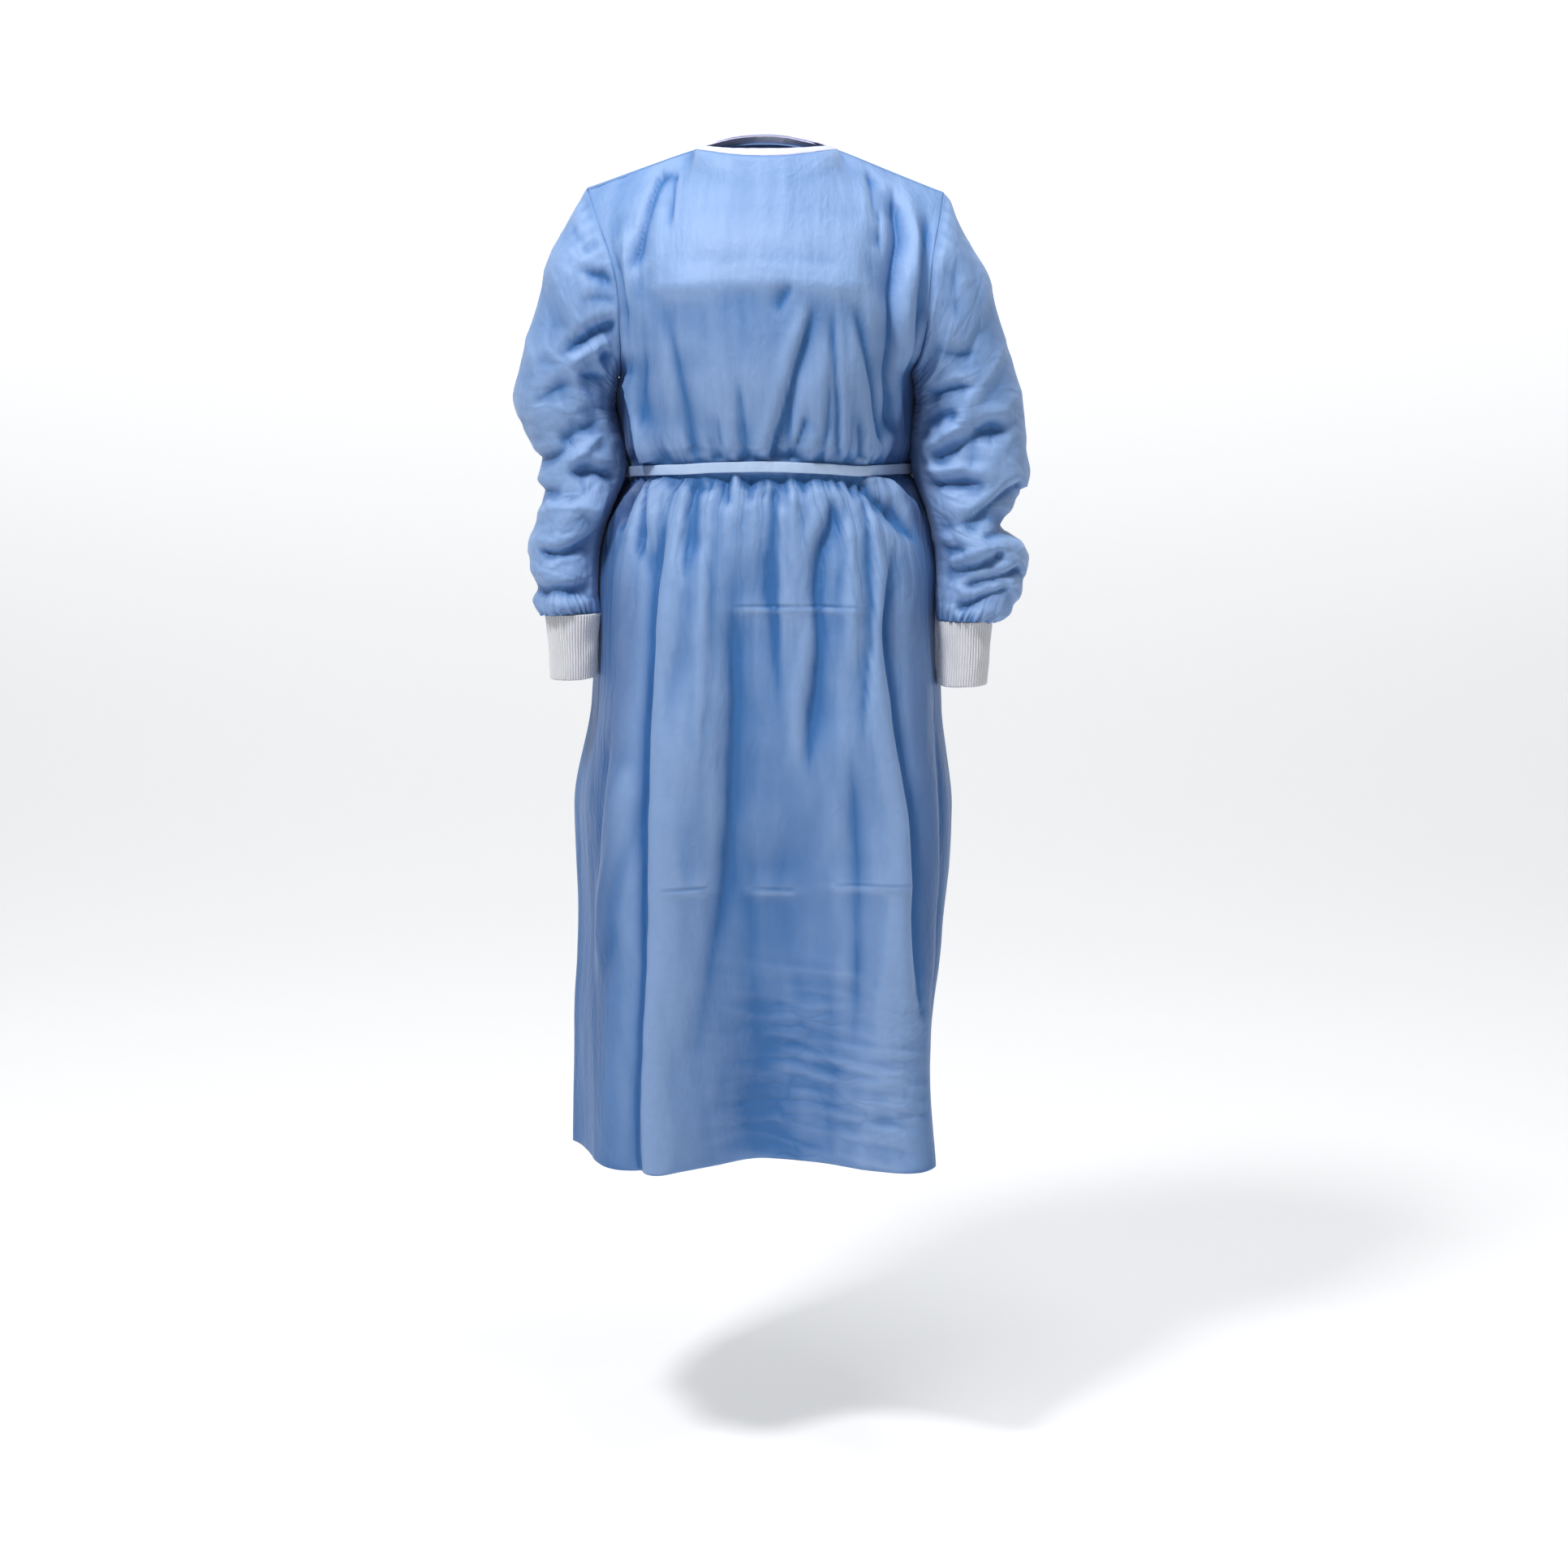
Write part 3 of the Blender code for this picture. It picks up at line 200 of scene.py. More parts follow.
# Creases of the front, in metres on the cloth: u runs across from the midline to the wearer's left, z is the
# height. half_width across, height out of the cloth (- in), lean over towards +u of the side that rolls over
# it, and the share of its length over which each end fades.
CREASE_COLUMNS = ("half_width", "height", "lean", "fade_top", "fade_foot", "path")
FRONT_CREASES = {
    "right_shoulder_pleat": (0.0056, -0.0082, 0.000, 0.05, 0.30, ((-0.142, -0.022), (-0.139, -0.064), (-0.144, -0.105), (-0.158, -0.140))),
    "right_shoulder_thin": (0.0042, -0.0052, 0.000, 0.10, 0.40, ((-0.122, -0.022), (-0.113, -0.062), (-0.112, -0.095))),
    "right_armhole_roll": (0.0080, 0.0050, 0.000, 0.30, 0.30, ((-0.165, -0.070), (-0.158, -0.120), (-0.160, -0.180))),
    "right_armhole_pull": (0.0060, -0.0050, 0.000, 0.20, 0.40, ((-0.172, -0.110), (-0.164, -0.160), (-0.172, -0.215))),
    "right_rib_shade": (0.0115, -0.0048, 0.000, 0.45, 0.35, ((-0.142, -0.165), (-0.144, -0.220), (-0.147, -0.270), (-0.148, -0.322))),
    "right_rib_roll": (0.0085, 0.0080, 0.000, 0.20, 0.05, ((-0.195, -0.235), (-0.170, -0.272), (-0.156, -0.306), (-0.151, -0.335))),
    "right_rib_trough": (0.0086, -0.0060, 0.000, 0.55, 0.05, ((-0.110, -0.155), (-0.102, -0.205), (-0.092, -0.258), (-0.080, -0.328))),
    "middle_thin": (0.0050, -0.0030, 0.000, 0.40, 0.05, ((-0.032, -0.232), (-0.026, -0.280), (-0.021, -0.328))),
    "main_diagonal": (0.0082, -0.0098, 0.0035, 0.30, 0.05, ((0.054, -0.155), (0.036, -0.215), (0.019, -0.272), (0.003, -0.328))),
    "short_diagonal": (0.0050, -0.0035, 0.000, 0.30, 0.40, ((0.029, -0.146), (0.020, -0.162), (0.011, -0.180))),
    "small_diagonal": (0.0050, -0.0048, 0.000, 0.40, 0.05, ((0.046, -0.268), (0.037, -0.296), (0.027, -0.328))),
    "left_near_vertical": (0.0042, -0.0040, 0.000, 0.30, 0.05, ((0.069, -0.155), (0.073, -0.230), (0.079, -0.328))),
    "left_diagonal": (0.0066, -0.0072, 0.000, 0.30, 0.10, ((0.091, -0.158), (0.107, -0.216), (0.123, -0.268), (0.141, -0.318))),
    "left_deep": (0.0110, -0.0150, -0.0025, 0.12, 0.10, ((0.160, -0.035), (0.156, -0.085), (0.145, -0.135), (0.146, -0.190), (0.156, -0.250), (0.166, -0.310))),
    "left_roll": (0.0062, 0.0052, 0.000, 0.20, 0.30, ((0.177, -0.060), (0.168, -0.130), (0.168, -0.190), (0.182, -0.260))),
    "left_arm_shade": (0.0068, -0.0064, 0.000, 0.25, 0.35, ((0.197, -0.062), (0.189, -0.110), (0.182, -0.170), (0.182, -0.232))),
    "left_shoulder_thin": (0.0055, -0.0040, 0.000, 0.10, 0.40, ((0.142, -0.022), (0.128, -0.050), (0.122, -0.080))),
    "left_shoulder_short": (0.0060, -0.0045, 0.000, 0.30, 0.40, ((0.132, -0.058), (0.128, -0.085), (0.126, -0.115))),
    "left_waist_small": (0.0055, -0.0050, 0.000, 0.50, 0.05, ((0.100, -0.275), (0.104, -0.300), (0.106, -0.328))),
    "right_waist_small": (0.0055, -0.0040, 0.000, 0.50, 0.05, ((-0.052, -0.270), (-0.050, -0.300), (-0.049, -0.328))),
    "skirt_right_short": (0.0085, -0.0080, 0.000, 0.05, 0.45, ((-0.078, -0.350), (-0.080, -0.383), (-0.084, -0.423), (-0.088, -0.462))),
    "skirt_right_deep": (0.0150, -0.0175, -0.0050, 0.10, 0.00, ((-0.112, -0.372), (-0.121, -0.440), (-0.127, -0.505), (-0.131, -0.569), (-0.134, -0.675), (-0.135, -0.783), (-0.140, -0.843), (-0.147, -0.916), (-0.152, -0.999), (-0.154, -1.105))),
    "side_ridge": (0.0130, 0.0070, 0.000, 0.25, 0.25, ((-0.158, -0.640), (-0.175, -0.715), (-0.198, -0.795), (-0.228, -0.900))),
    "side_shade": (0.0110, -0.0060, 0.000, 0.30, 0.30, ((-0.190, -0.600), (-0.206, -0.700), (-0.232, -0.800))),
    "middle_left_long": (0.0160, -0.0104, 0.000, 0.25, 0.60, ((-0.036, -0.400), (-0.037, -0.500), (-0.033, -0.580), (-0.034, -0.660), (-0.039, -0.735), (-0.048, -0.800), (-0.064, -0.870), (-0.082, -0.960), (-0.092, -1.040))),
    "hip_shade": (0.0150, -0.0045, 0.000, 0.40, 0.50, ((-0.008, -0.405), (0.000, -0.450), (0.002, -0.505))),
    "middle_right_long": (0.0110, -0.0110, 0.0025, 0.10, 0.35, ((0.072, -0.362), (0.066, -0.396), (0.053, -0.429), (0.050, -0.478), (0.052, -0.524), (0.047, -0.601), (0.044, -0.680))),
    "light_rib": (0.0065, 0.0055, 0.000, 0.20, 0.40, ((0.087, -0.375), (0.089, -0.425), (0.088, -0.480), (0.090, -0.560))),
    "left_long": (0.0130, -0.0150, 0.0040, 0.15, 0.25, ((0.148, -0.405), (0.136, -0.463), (0.131, -0.509), (0.138, -0.560), (0.148, -0.625), (0.162, -0.700), (0.167, -0.765), (0.172, -0.850), (0.186, -0.960))),
    "left_side_soft": (0.0160, -0.0070, 0.000, 0.30, 0.00, ((0.226, -0.520), (0.232, -0.700), (0.238, -0.900), (0.244, -1.105))),
    "belt_roll": (0.0075, 0.0110, 0.000, 0.05, 0.35, ((0.112, -0.345), (0.142, -0.357), (0.176, -0.378), (0.208, -0.402))),
    "belt_roll_shade": (0.0055, -0.0100, 0.000, 0.05, 0.35, ((0.104, -0.352), (0.130, -0.371), (0.158, -0.391), (0.186, -0.420))),
    "fan_outer": (0.0065, 0.0065, 0.000, 0.05, 0.40, ((-0.160, -0.350), (-0.178, -0.364), (-0.204, -0.392), (-0.228, -0.436))),
    "fan_outer_shade": (0.0055, -0.0075, 0.000, 0.05, 0.40, ((-0.154, -0.352), (-0.168, -0.374), (-0.186, -0.410))),
    "fan_middle": (0.0060, 0.0060, 0.000, 0.05, 0.40, ((-0.149, -0.352), (-0.154, -0.388), (-0.164, -0.446))),
    "fan_middle_shade": (0.0055, -0.0080, 0.000, 0.05, 0.40, ((-0.142, -0.352), (-0.143, -0.392), (-0.149, -0.440))),
    "fan_inner": (0.0065, 0.0055, 0.000, 0.05, 0.50, ((-0.134, -0.352), (-0.129, -0.392), (-0.128, -0.434))),
    "mid_streak_a": (0.0056, -0.0046, 0.000, 0.05, 0.45, ((0.008, -0.352), (0.006, -0.430), (0.010, -0.520), (0.014, -0.620))),
    "mid_streak_b": (0.0056, 0.0042, 0.000, 0.05, 0.50, ((-0.060, -0.355), (-0.066, -0.440), (-0.072, -0.560), (-0.076, -0.700))),
    "mid_streak_c": (0.0056, -0.0050, 0.000, 0.05, 0.40, ((0.110, -0.360), (0.112, -0.450), (0.104, -0.560), (0.100, -0.660))),
    "mid_ridge_d": (0.0060, 0.0046, 0.000, 0.05, 0.50, ((0.027, -0.360), (0.024, -0.450), (0.022, -0.560))),
    "right_panel_soft": (0.0090, -0.0042, 0.000, 0.30, 0.40, ((-0.098, -0.500), (-0.104, -0.620), (-0.100, -0.760))),
    "low_soft": (0.0110, -0.0050, 0.000, 0.30, 0.35, ((0.088, -0.600), (0.096, -0.720), (0.100, -0.860), (0.098, -0.980))),
    "under_belt_a": (0.0060, -0.0080, 0.000, 0.02, 0.60, ((-0.044, -0.340), (-0.042, -0.360), (-0.040, -0.388))),
    "under_belt_b": (0.0060, -0.0075, 0.000, 0.02, 0.60, ((-0.020, -0.340), (-0.019, -0.358), (-0.016, -0.380))),
    "under_belt_c": (0.0065, -0.0080, 0.000, 0.02, 0.60, ((0.014, -0.340), (0.016, -0.360), (0.017, -0.390))),
    "under_belt_d": (0.0060, -0.0070, 0.000, 0.02, 0.60, ((0.090, -0.340), (0.094, -0.358), (0.098, -0.376))),
    "under_belt_e": (0.0055, -0.0060, 0.000, 0.02, 0.60, ((0.040, -0.340), (0.041, -0.356), (0.040, -0.374))),
}
# Lines pressed into the cloth while it lay folded in its pack: height, u from and to, how far the ridge
# stands out, its reach up and down, and how much of it is a step rather than a ridge.
PRESS_COLUMNS = ("z", "u_from", "u_to", "height", "reach", "step")
FRONT_PRESSED = {
    "chest": (-0.147, -0.124, 0.094, 0.0085, 0.026, 0.0012),
    "chest_upper": (-0.127, -0.100, 0.080, -0.0014, 0.007, 0.0000),
    "hip": (-0.482, -0.040, 0.100, 0.0022, 0.010, 0.0008),
    "knee_right": (-0.781, -0.115, -0.060, 0.0030, 0.009, 0.0012),
    "knee_middle": (-0.785, -0.018, 0.036, 0.0030, 0.009, 0.0012),
    "knee_left": (-0.779, 0.072, 0.160, 0.0030, 0.009, 0.0012),
}
BACK_CREASES = {
    "right_blade": (0.0110, -0.0080, 0.000, 0.25, 0.10, ((-0.110, -0.110), (-0.100, -0.190), (-0.088, -0.260), (-0.078, -0.338))),
    "left_blade": (0.0110, -0.0085, 0.000, 0.25, 0.10, ((0.118, -0.100), (0.108, -0.180), (0.094, -0.262), (0.086, -0.338))),
    "right_armhole_pull": (0.0080, -0.0060, 0.000, 0.20, 0.40, ((-0.150, -0.070), (-0.140, -0.140), (-0.150, -0.215))),
    "left_armhole_pull": (0.0080, -0.0070, 0.000, 0.20, 0.40, ((0.154, -0.060), (0.143, -0.130), (0.150, -0.210))),
    "middle_pull": (0.0080, -0.0050, 0.0020, 0.40, 0.05, ((-0.028, -0.210), (-0.016, -0.270), (-0.008, -0.338))),
    "right_side_pull": (0.0070, -0.0060, 0.000, 0.40, 0.05, ((-0.168, -0.250), (-0.150, -0.300), (-0.140, -0.338))),
    "left_side_pull": (0.0075, -0.0065, 0.000, 0.40, 0.05, ((0.172, -0.250), (0.154, -0.296), (0.142, -0.338))),
    "right_seat": (0.0130, -0.0130, -0.0030, 0.05, 0.05, ((-0.076, -0.360), (-0.088, -0.460), (-0.096, -0.640), (-0.108, -0.850), (-0.112, -1.105))),
    "left_seat": (0.0130, -0.0140, 0.0030, 0.05, 0.05, ((0.082, -0.360), (0.096, -0.470), (0.110, -0.660), (0.116, -0.860), (0.122, -1.105))),
    "right_hip": (0.0120, -0.0100, 0.000, 0.05, 0.30, ((-0.128, -0.365), (-0.146, -0.450), (-0.160, -0.600), (-0.172, -0.800))),
    "left_hip": (0.0120, -0.0110, 0.000, 0.05, 0.30, ((0.132, -0.365), (0.150, -0.460), (0.168, -0.620), (0.176, -0.820))),
    "right_outer": (0.0120, -0.0090, 0.000, 0.20, 0.00, ((-0.196, -0.500), (-0.206, -0.700), (-0.214, -0.900), (-0.220, -1.105))),
    "left_outer": (0.0120, -0.0080, 0.000, 0.20, 0.00, ((0.186, -0.520), (0.192, -0.720), (0.190, -0.910), (0.188, -1.105))),
    "middle_right_low": (0.0120, -0.0070, 0.000, 0.35, 0.00, ((-0.034, -0.620), (-0.040, -0.800), (-0.036, -1.105))),
    "middle_left_low": (0.0120, -0.0075, 0.000, 0.35, 0.30, ((0.040, -0.420), (0.044, -0.600), (0.056, -0.800))),
    "waist_a": (0.0060, -0.0060, 0.000, 0.02, 0.60, ((-0.050, -0.350), (-0.052, -0.372), (-0.055, -0.402))),
    "waist_b": (0.0060, -0.0065, 0.000, 0.02, 0.60, ((0.052, -0.350), (0.054, -0.375), (0.058, -0.410))),
}
BACK_PRESSED = {
    "blade": (-0.150, -0.110, 0.100, 0.0035, 0.020, 0.0008),
    "seat": (-0.484, -0.090, 0.080, 0.0022, 0.010, 0.0008),
    "calf": (-0.786, -0.120, 0.130, 0.0026, 0.010, 0.0010),
}

# Creases of the sleeves, as x, z seen from the front. From behind, each shows again a little lower.
SLEEVE_CREASES_RIGHT = {
    "upper_pinch": (0.0068, -0.0066, 0.000, 0.60, 0.02, ((-0.212, -0.128), (-0.181, -0.133), (-0.152, -0.143))),
    "upper_soft": (0.0070, -0.0030, 0.000, 0.40, 0.10, ((-0.205, -0.163), (-0.178, -0.160), (-0.154, -0.163))),
    "arm_diagonal": (0.0090, -0.0098, 0.0030, 0.45, 0.02, ((-0.226, -0.224), (-0.195, -0.206), (-0.173, -0.194), (-0.152, -0.186))),
    "arm_diagonal_ridge": (0.0060, 0.0050, 0.000, 0.30, 0.10, ((-0.216, -0.233), (-0.192, -0.222), (-0.168, -0.208))),
    "arm_inner": (0.0070, -0.0062, 0.000, 0.50, 0.02, ((-0.186, -0.228), (-0.170, -0.226), (-0.150, -0.228))),
    "elbow_line": (0.0060, -0.0065, 0.000, 0.30, 0.05, ((-0.204, -0.241), (-0.176, -0.246), (-0.152, -0.254))),
    "elbow_shade": (0.0080, -0.0050, 0.000, 0.30, 0.40, ((-0.252, -0.272), (-0.228, -0.256), (-0.202, -0.250))),
    "elbow_facet": (0.0110, -0.0075, 0.000, 0.25, 0.30, ((-0.232, -0.318), (-0.206, -0.301), (-0.180, -0.290), (-0.166, -0.285))),
    "elbow_ridge": (0.0060, 0.0055, 0.000, 0.30, 0.30, ((-0.215, -0.335), (-0.195, -0.322), (-0.172, -0.300))),
    "outer_pinch": (0.0060, -0.0055, 0.000, 0.05, 0.35, ((-0.258, -0.334), (-0.234, -0.326), (-0.212, -0.317))),
    "fore_pinch": (0.0065, -0.0115, 0.000, 0.25, 0.02, ((-0.218, -0.346), (-0.194, -0.339), (-0.175, -0.344), (-0.154, -0.353))),
    "outer_notch": (0.0075, -0.0060, 0.000, 0.05, 0.50, ((-0.258, -0.362), (-0.240, -0.364), (-0.216, -0.366))),
    "fore_ridge": (0.0070, 0.0055, 0.000, 0.20, 0.30, ((-0.196, -0.392), (-0.176, -0.372), (-0.158, -0.360))),
    "smile": (0.0065, -0.0105, 0.000, 0.15, 0.05, ((-0.254, -0.427), (-0.220, -0.428), (-0.196, -0.421), (-0.175, -0.408), (-0.165, -0.392))),
    "wrist_line": (0.0060, -0.0070, 0.000, 0.15, 0.15, ((-0.252, -0.474), (-0.226, -0.466), (-0.202, -0.467), (-0.180, -0.460))),
    "top_ease": (0.0090, -0.0035, 0.000, 0.30, 0.30, ((-0.214, -0.075), (-0.196, -0.100), (-0.182, -0.115))),
}
SLEEVE_CREASES_LEFT = {
    "cap_shade": (0.0090, -0.0040, 0.000, 0.35, 0.40, ((0.204, -0.110), (0.201, -0.150), (0.204, -0.195))),
    "arm_soft": (0.0080, -0.0030, 0.000, 0.35, 0.35, ((0.168, -0.210), (0.200, -0.218), (0.236, -0.214))),
    "arm_line": (0.0060, -0.0065, 0.000, 0.15, 0.35, ((0.168, -0.265), (0.198, -0.255), (0.228, -0.251))),
    "inner_facet": (0.0095, -0.0085, 0.000, 0.05, 0.25, ((0.156, -0.296), (0.182, -0.286), (0.210, -0.280))),
    "elbow_ridge": (0.0060, 0.0065, 0.000, 0.20, 0.30, ((0.160, -0.325), (0.186, -0.310), (0.213, -0.289))),
    "elbow_band": (0.0100, -0.0095, 0.000, 0.10, 0.20, ((0.172, -0.333), (0.204, -0.316), (0.226, -0.301), (0.246, -0.295), (0.264, -0.307))),
    "fore_ridge": (0.0060, 0.0045, 0.000, 0.20, 0.30, ((0.168, -0.342), (0.196, -0.339), (0.220, -0.337))),
    "fore_pinch": (0.0070, -0.0115, 0.000, 0.03, 0.25, ((0.148, -0.364), (0.180, -0.357), (0.206, -0.354), (0.240, -0.357))),
    "outer_pinch": (0.0070, -0.0095, 0.000, 0.25, 0.03, ((0.198, -0.400), (0.227, -0.386), (0.250, -0.371), (0.276, -0.356))),
    "low_line": (0.0060, -0.0065, 0.000, 0.10, 0.30, ((0.172, -0.430), (0.196, -0.426), (0.218, -0.427))),
    "low_band": (0.0065, -0.0095, 0.000, 0.05, 0.10, ((0.174, -0.457), (0.206, -0.447), (0.233, -0.439), (0.256, -0.424))),
    "low_outer": (0.0055, -0.0080, 0.000, 0.20, 0.05, ((0.204, -0.466), (0.228, -0.459), (0.254, -0.453), (0.276, -0.446))),
    "wrist_line": (0.0060, -0.0075, 0.000, 0.15, 0.10, ((0.200, -0.489), (0.232, -0.480), (0.264, -0.468))),
    "notch": (0.0065, -0.0060, 0.000, 0.30, 0.05, ((0.226, -0.412), (0.246, -0.405), (0.268, -0.396))),
}


# ---------------------------------------------------------------- numbers
def rising(knots, values):
    """A smooth curve through values at rising knots that never passes them (monotone cubic)."""
    knots, values = np.asarray(knots, float), np.asarray(values, float)
    step = np.diff(knots)
    slope = np.diff(values) / step
    turn = np.zeros(len(knots))
    for i in range(1, len(knots) - 1):
        if slope[i - 1] * slope[i] > 0:
            before, after = 2 * step[i] + step[i - 1], step[i] + 2 * step[i - 1]
            turn[i] = (before + after) / (before / slope[i - 1] + after / slope[i])
    turn[0], turn[-1] = slope[0], slope[-1]

    def at(knot):
        knot = np.clip(knot, knots[0], knots[-1])
        i = np.clip(np.searchsorted(knots, knot, side="right") - 1, 0, len(step) - 1)
        t = (knot - knots[i]) / step[i]
        return (
            (1 + 2 * t) * (1 - t) ** 2 * values[i]
            + t * (1 - t) ** 2 * step[i] * turn[i]
            + t * t * (3 - 2 * t) * values[i + 1]
            + t * t * (t - 1) * step[i] * turn[i + 1]
        )

    return at


def smooth(t):
    t = np.clip(t, 0.0, 1.0)
    return t * t * (3 - 2 * t)


def unit(vectors):
    return vectors / np.maximum(np.linalg.norm(vectors, axis=-1, keepdims=True), 1e-12)


def scramble(cells, seed):
    """A repeatable random number from 0 to 1 for each whole-numbered cell."""
    mixed = np.full(cells[0].shape, (seed * 747796405 + 2891336453) % 2**32, np.uint32)
    for cell in cells:
        mixed = (mixed ^ cell.astype(np.int64).astype(np.uint32)) * np.uint32(2654435761)
        mixed ^= mixed >> np.uint32(15)
    mixed = mixed * np.uint32(2246822519)
    mixed ^= mixed >> np.uint32(13)
    return mixed / 2.0**32


def noise2(x, y, seed):
    """Smooth noise from about -0.7 to 0.7 over a plane, one hill or dip to about each unit."""
    x, y = np.broadcast_arrays(np.asarray(x, float), np.asarray(y, float))
    cx, cy = np.floor(x), np.floor(y)
    fx, fy = x - cx, y - cy
    wx, wy = fx**3 * (fx * (fx * 6 - 15) + 10), fy**3 * (fy * (fy * 6 - 15) + 10)
    total = 0.0
    for i in (0, 1):
        for j in (0, 1):
            turn = scramble((cx + i, cy + j), seed) * 2 * math.pi
            slope = np.cos(turn) * (fx - i) + np.sin(turn) * (fy - j)
            total = total + slope * (wx if i else 1 - wx) * (wy if j else 1 - wy)
    return total


def noise3(points, size, seed):
    """Three smooth values from -1 to 1 at each point, one hill or dip to about each size."""
    p = points / size
    c = np.floor(p)
    f = p - c
    w = f**3 * (f * (f * 6 - 15) + 10)
    out = np.zeros(points.shape)
    for k in range(3):
        total = 0.0
        for i in (0, 1):
            for j in (0, 1):
                for h in (0, 1):
                    value = scramble((c[..., 0] + i, c[..., 1] + j, c[..., 2] + h), seed * 3 + k) * 2 - 1
                    total = total + value * (w[..., 0] if i else 1 - w[..., 0]) * (w[..., 1] if j else 1 - w[..., 1]) * (w[..., 2] if h else 1 - w[..., 2])
        out[..., k] = total
    return out


def crumpled(x, y, seed):
    """Cloth that was crushed and smoothed out again: sharp little creases with flats between, about 0 on average."""
    wx, wy = x + 0.9 * noise2(x * 0.6, y * 0.6, seed + 7), y + 0.9 * noise2(x * 0.6, y * 0.6, seed + 8)
    total = 0.0
    for k, (scale, share, turn) in enumerate(((1.0, 0.50, 0.3), (1.7, 0.30, 1.2), (2.9, 0.20, 2.2))):
        rx = (wx * math.cos(turn) - wy * math.sin(turn)) * scale + 3.1 * k
        ry = (wx * math.sin(turn) + wy * math.cos(turn)) * scale
        value = noise2(rx, ry, seed + k)
        total = total + share * (0.30 - np.abs(value)) * 2.6 * (1 if k != 1 else -1)
    return total


def facets(x, y, seed, tilt=0.8):
    """Stiff crumpled cloth: shallow hollows, each tilted its own way, that meet in sharp straight ridges. About 0 on average."""
    x, y = np.broadcast_arrays(np.asarray(x, float), np.asarray(y, float))
    cx, cy = np.floor(x), np.floor(y)
    best = np.full(x.shape, 1e9)
    for i in (-1, 0, 1):
        for j in (-1, 0, 1):
            a, b = cx + i, cy + j
            px, py = a + scramble((a, b), seed), b + scramble((a, b), seed + 1)
            gx, gy = scramble((a, b), seed + 2) - 0.5, scramble((a, b), seed + 3) - 0.5
            dx, dy = x - px, y - py
            best = np.minimum(best, dx * dx + dy * dy + tilt * (gx * dx + gy * dy))
    return best - 0.16


def sway(points):
    """A slow uneven shift of every piece alike, so that no form is too regular. Sewn edges keep together."""
    return noise3(points, 0.13, 11) * 0.0026 + noise3(points, 0.055, 12) * 0.0011


def resample(path, count):
    """A smooth curve of count points through the points of a short path."""
    path = np.array(path, float)
    full = np.concatenate([[2 * path[0] - path[1]], path, [2 * path[-1] - path[-2]]])
    out = []
    for t in np.linspace(0, len(path) - 1, count):
        i = min(int(t), len(path) - 2)
        f = t - i
        a, b, c, d = full[i : i + 4]
        out.append(0.5 * (2 * b + (c - a) * f + (2 * a - 5 * b + 4 * c - d) * f * f + (3 * b - a - 3 * c + d) * f**3))
    return np.array(out)


def beside(u, z, path):
    """Signed distance of each point from a path, + on its +u side when it runs down, and its share along it."""
    run = np.concatenate([[0.0], np.cumsum(np.linalg.norm(np.diff(path, axis=0), axis=1))])
    nearest = np.full(u.shape, 1e9)
    signed, along = np.zeros(u.shape), np.zeros(u.shape)
    for k in range(len(path) - 1):
        step = path[k + 1] - path[k]
        length = np.linalg.norm(step)
        ru, rz = u - path[k, 0], z - path[k, 1]
        t = np.clip((ru * step[0] + rz * step[1]) / length**2, 0, 1)
        away = np.hypot(ru - step[0] * t, rz - step[1] * t)
        closer = away < nearest
        side = np.where(step[0] * rz - step[1] * ru >= 0, 1.0, -1.0)
        nearest = np.where(closer, away, nearest)
        signed = np.where(closer, side * away, signed)
        along = np.where(closer, (run[k] + t * length) / run[-1], along)
    return signed, along


def lay_creases(u, z, table, seed, steep=0, grow=1.0, wander=0.0022):
    """How far each point moves out of the cloth and across it, for all the creases of a table."""
    out, across = np.zeros(u.shape), np.zeros(u.shape)
    wu = u + wander * noise2(u / 0.035, z / 0.035, seed + 21)
    wz = z + wander * noise2(u / 0.035, z / 0.035, seed + 22)
    for number, row in enumerate(table.values()):
        crease = dict(zip(CREASE_COLUMNS, row))
        path = resample(crease["path"], 6 * len(crease["path"]))
        width, height, lean = crease["half_width"] * grow, crease["height"] * grow, crease["lean"]
        turn = steep or (1 if number % 2 else -1)
        reach = 6 * width
        near = (
            (wu > path[:, 0].min() - reach) & (wu < path[:, 0].max() + reach)
            & (wz > path[:, 1].min() - reach) & (wz < path[:, 1].max() + reach)
        )
        if not near.any():
            continue
        signed, along = beside(wu[near], wz[near], path)
        uneven = 1 + 0.35 * noise2(along * 5.0, np.full(along.shape, number * 3.7), seed)
        q = signed / (width * uneven)
        fade = smooth(along / max(crease["fade_top"], 1e-3)) * smooth((1 - along) / max(crease["fade_foot"], 1e-3))
        fade = fade * (1 + 0.3 * noise2(along * 3.0, np.full(along.shape, number * 1.9 + 4), seed + 5))
        if height < 0:
            # A sharp bottom, one side steeper than the other, between two low shoulders.
            bent = q * np.where(q * turn < 0, 0.62, 1.45)
            shape = np.exp(-(np.abs(bent) ** 1.12)) - 0.13 * np.exp(-((np.abs(bent) - 2.0) ** 2) / 0.9)
        else:
            bent = q * np.where(q * turn > 0, 0.70, 1.30)
            shape = np.exp(-(np.abs(bent) ** 1.35)) - 0.12 * np.exp(-((np.abs(bent) - 2.1) ** 2) / 0.9)
        move = height * shape
        if lean:
            over = math.copysign(1.0, lean)
            roll = np.exp(-((q + over * 1.1) ** 2))
            move = move + 0.7 * abs(lean) * roll
            across[near] += lean * roll * fade
        out[near] += move * fade
    return out, across


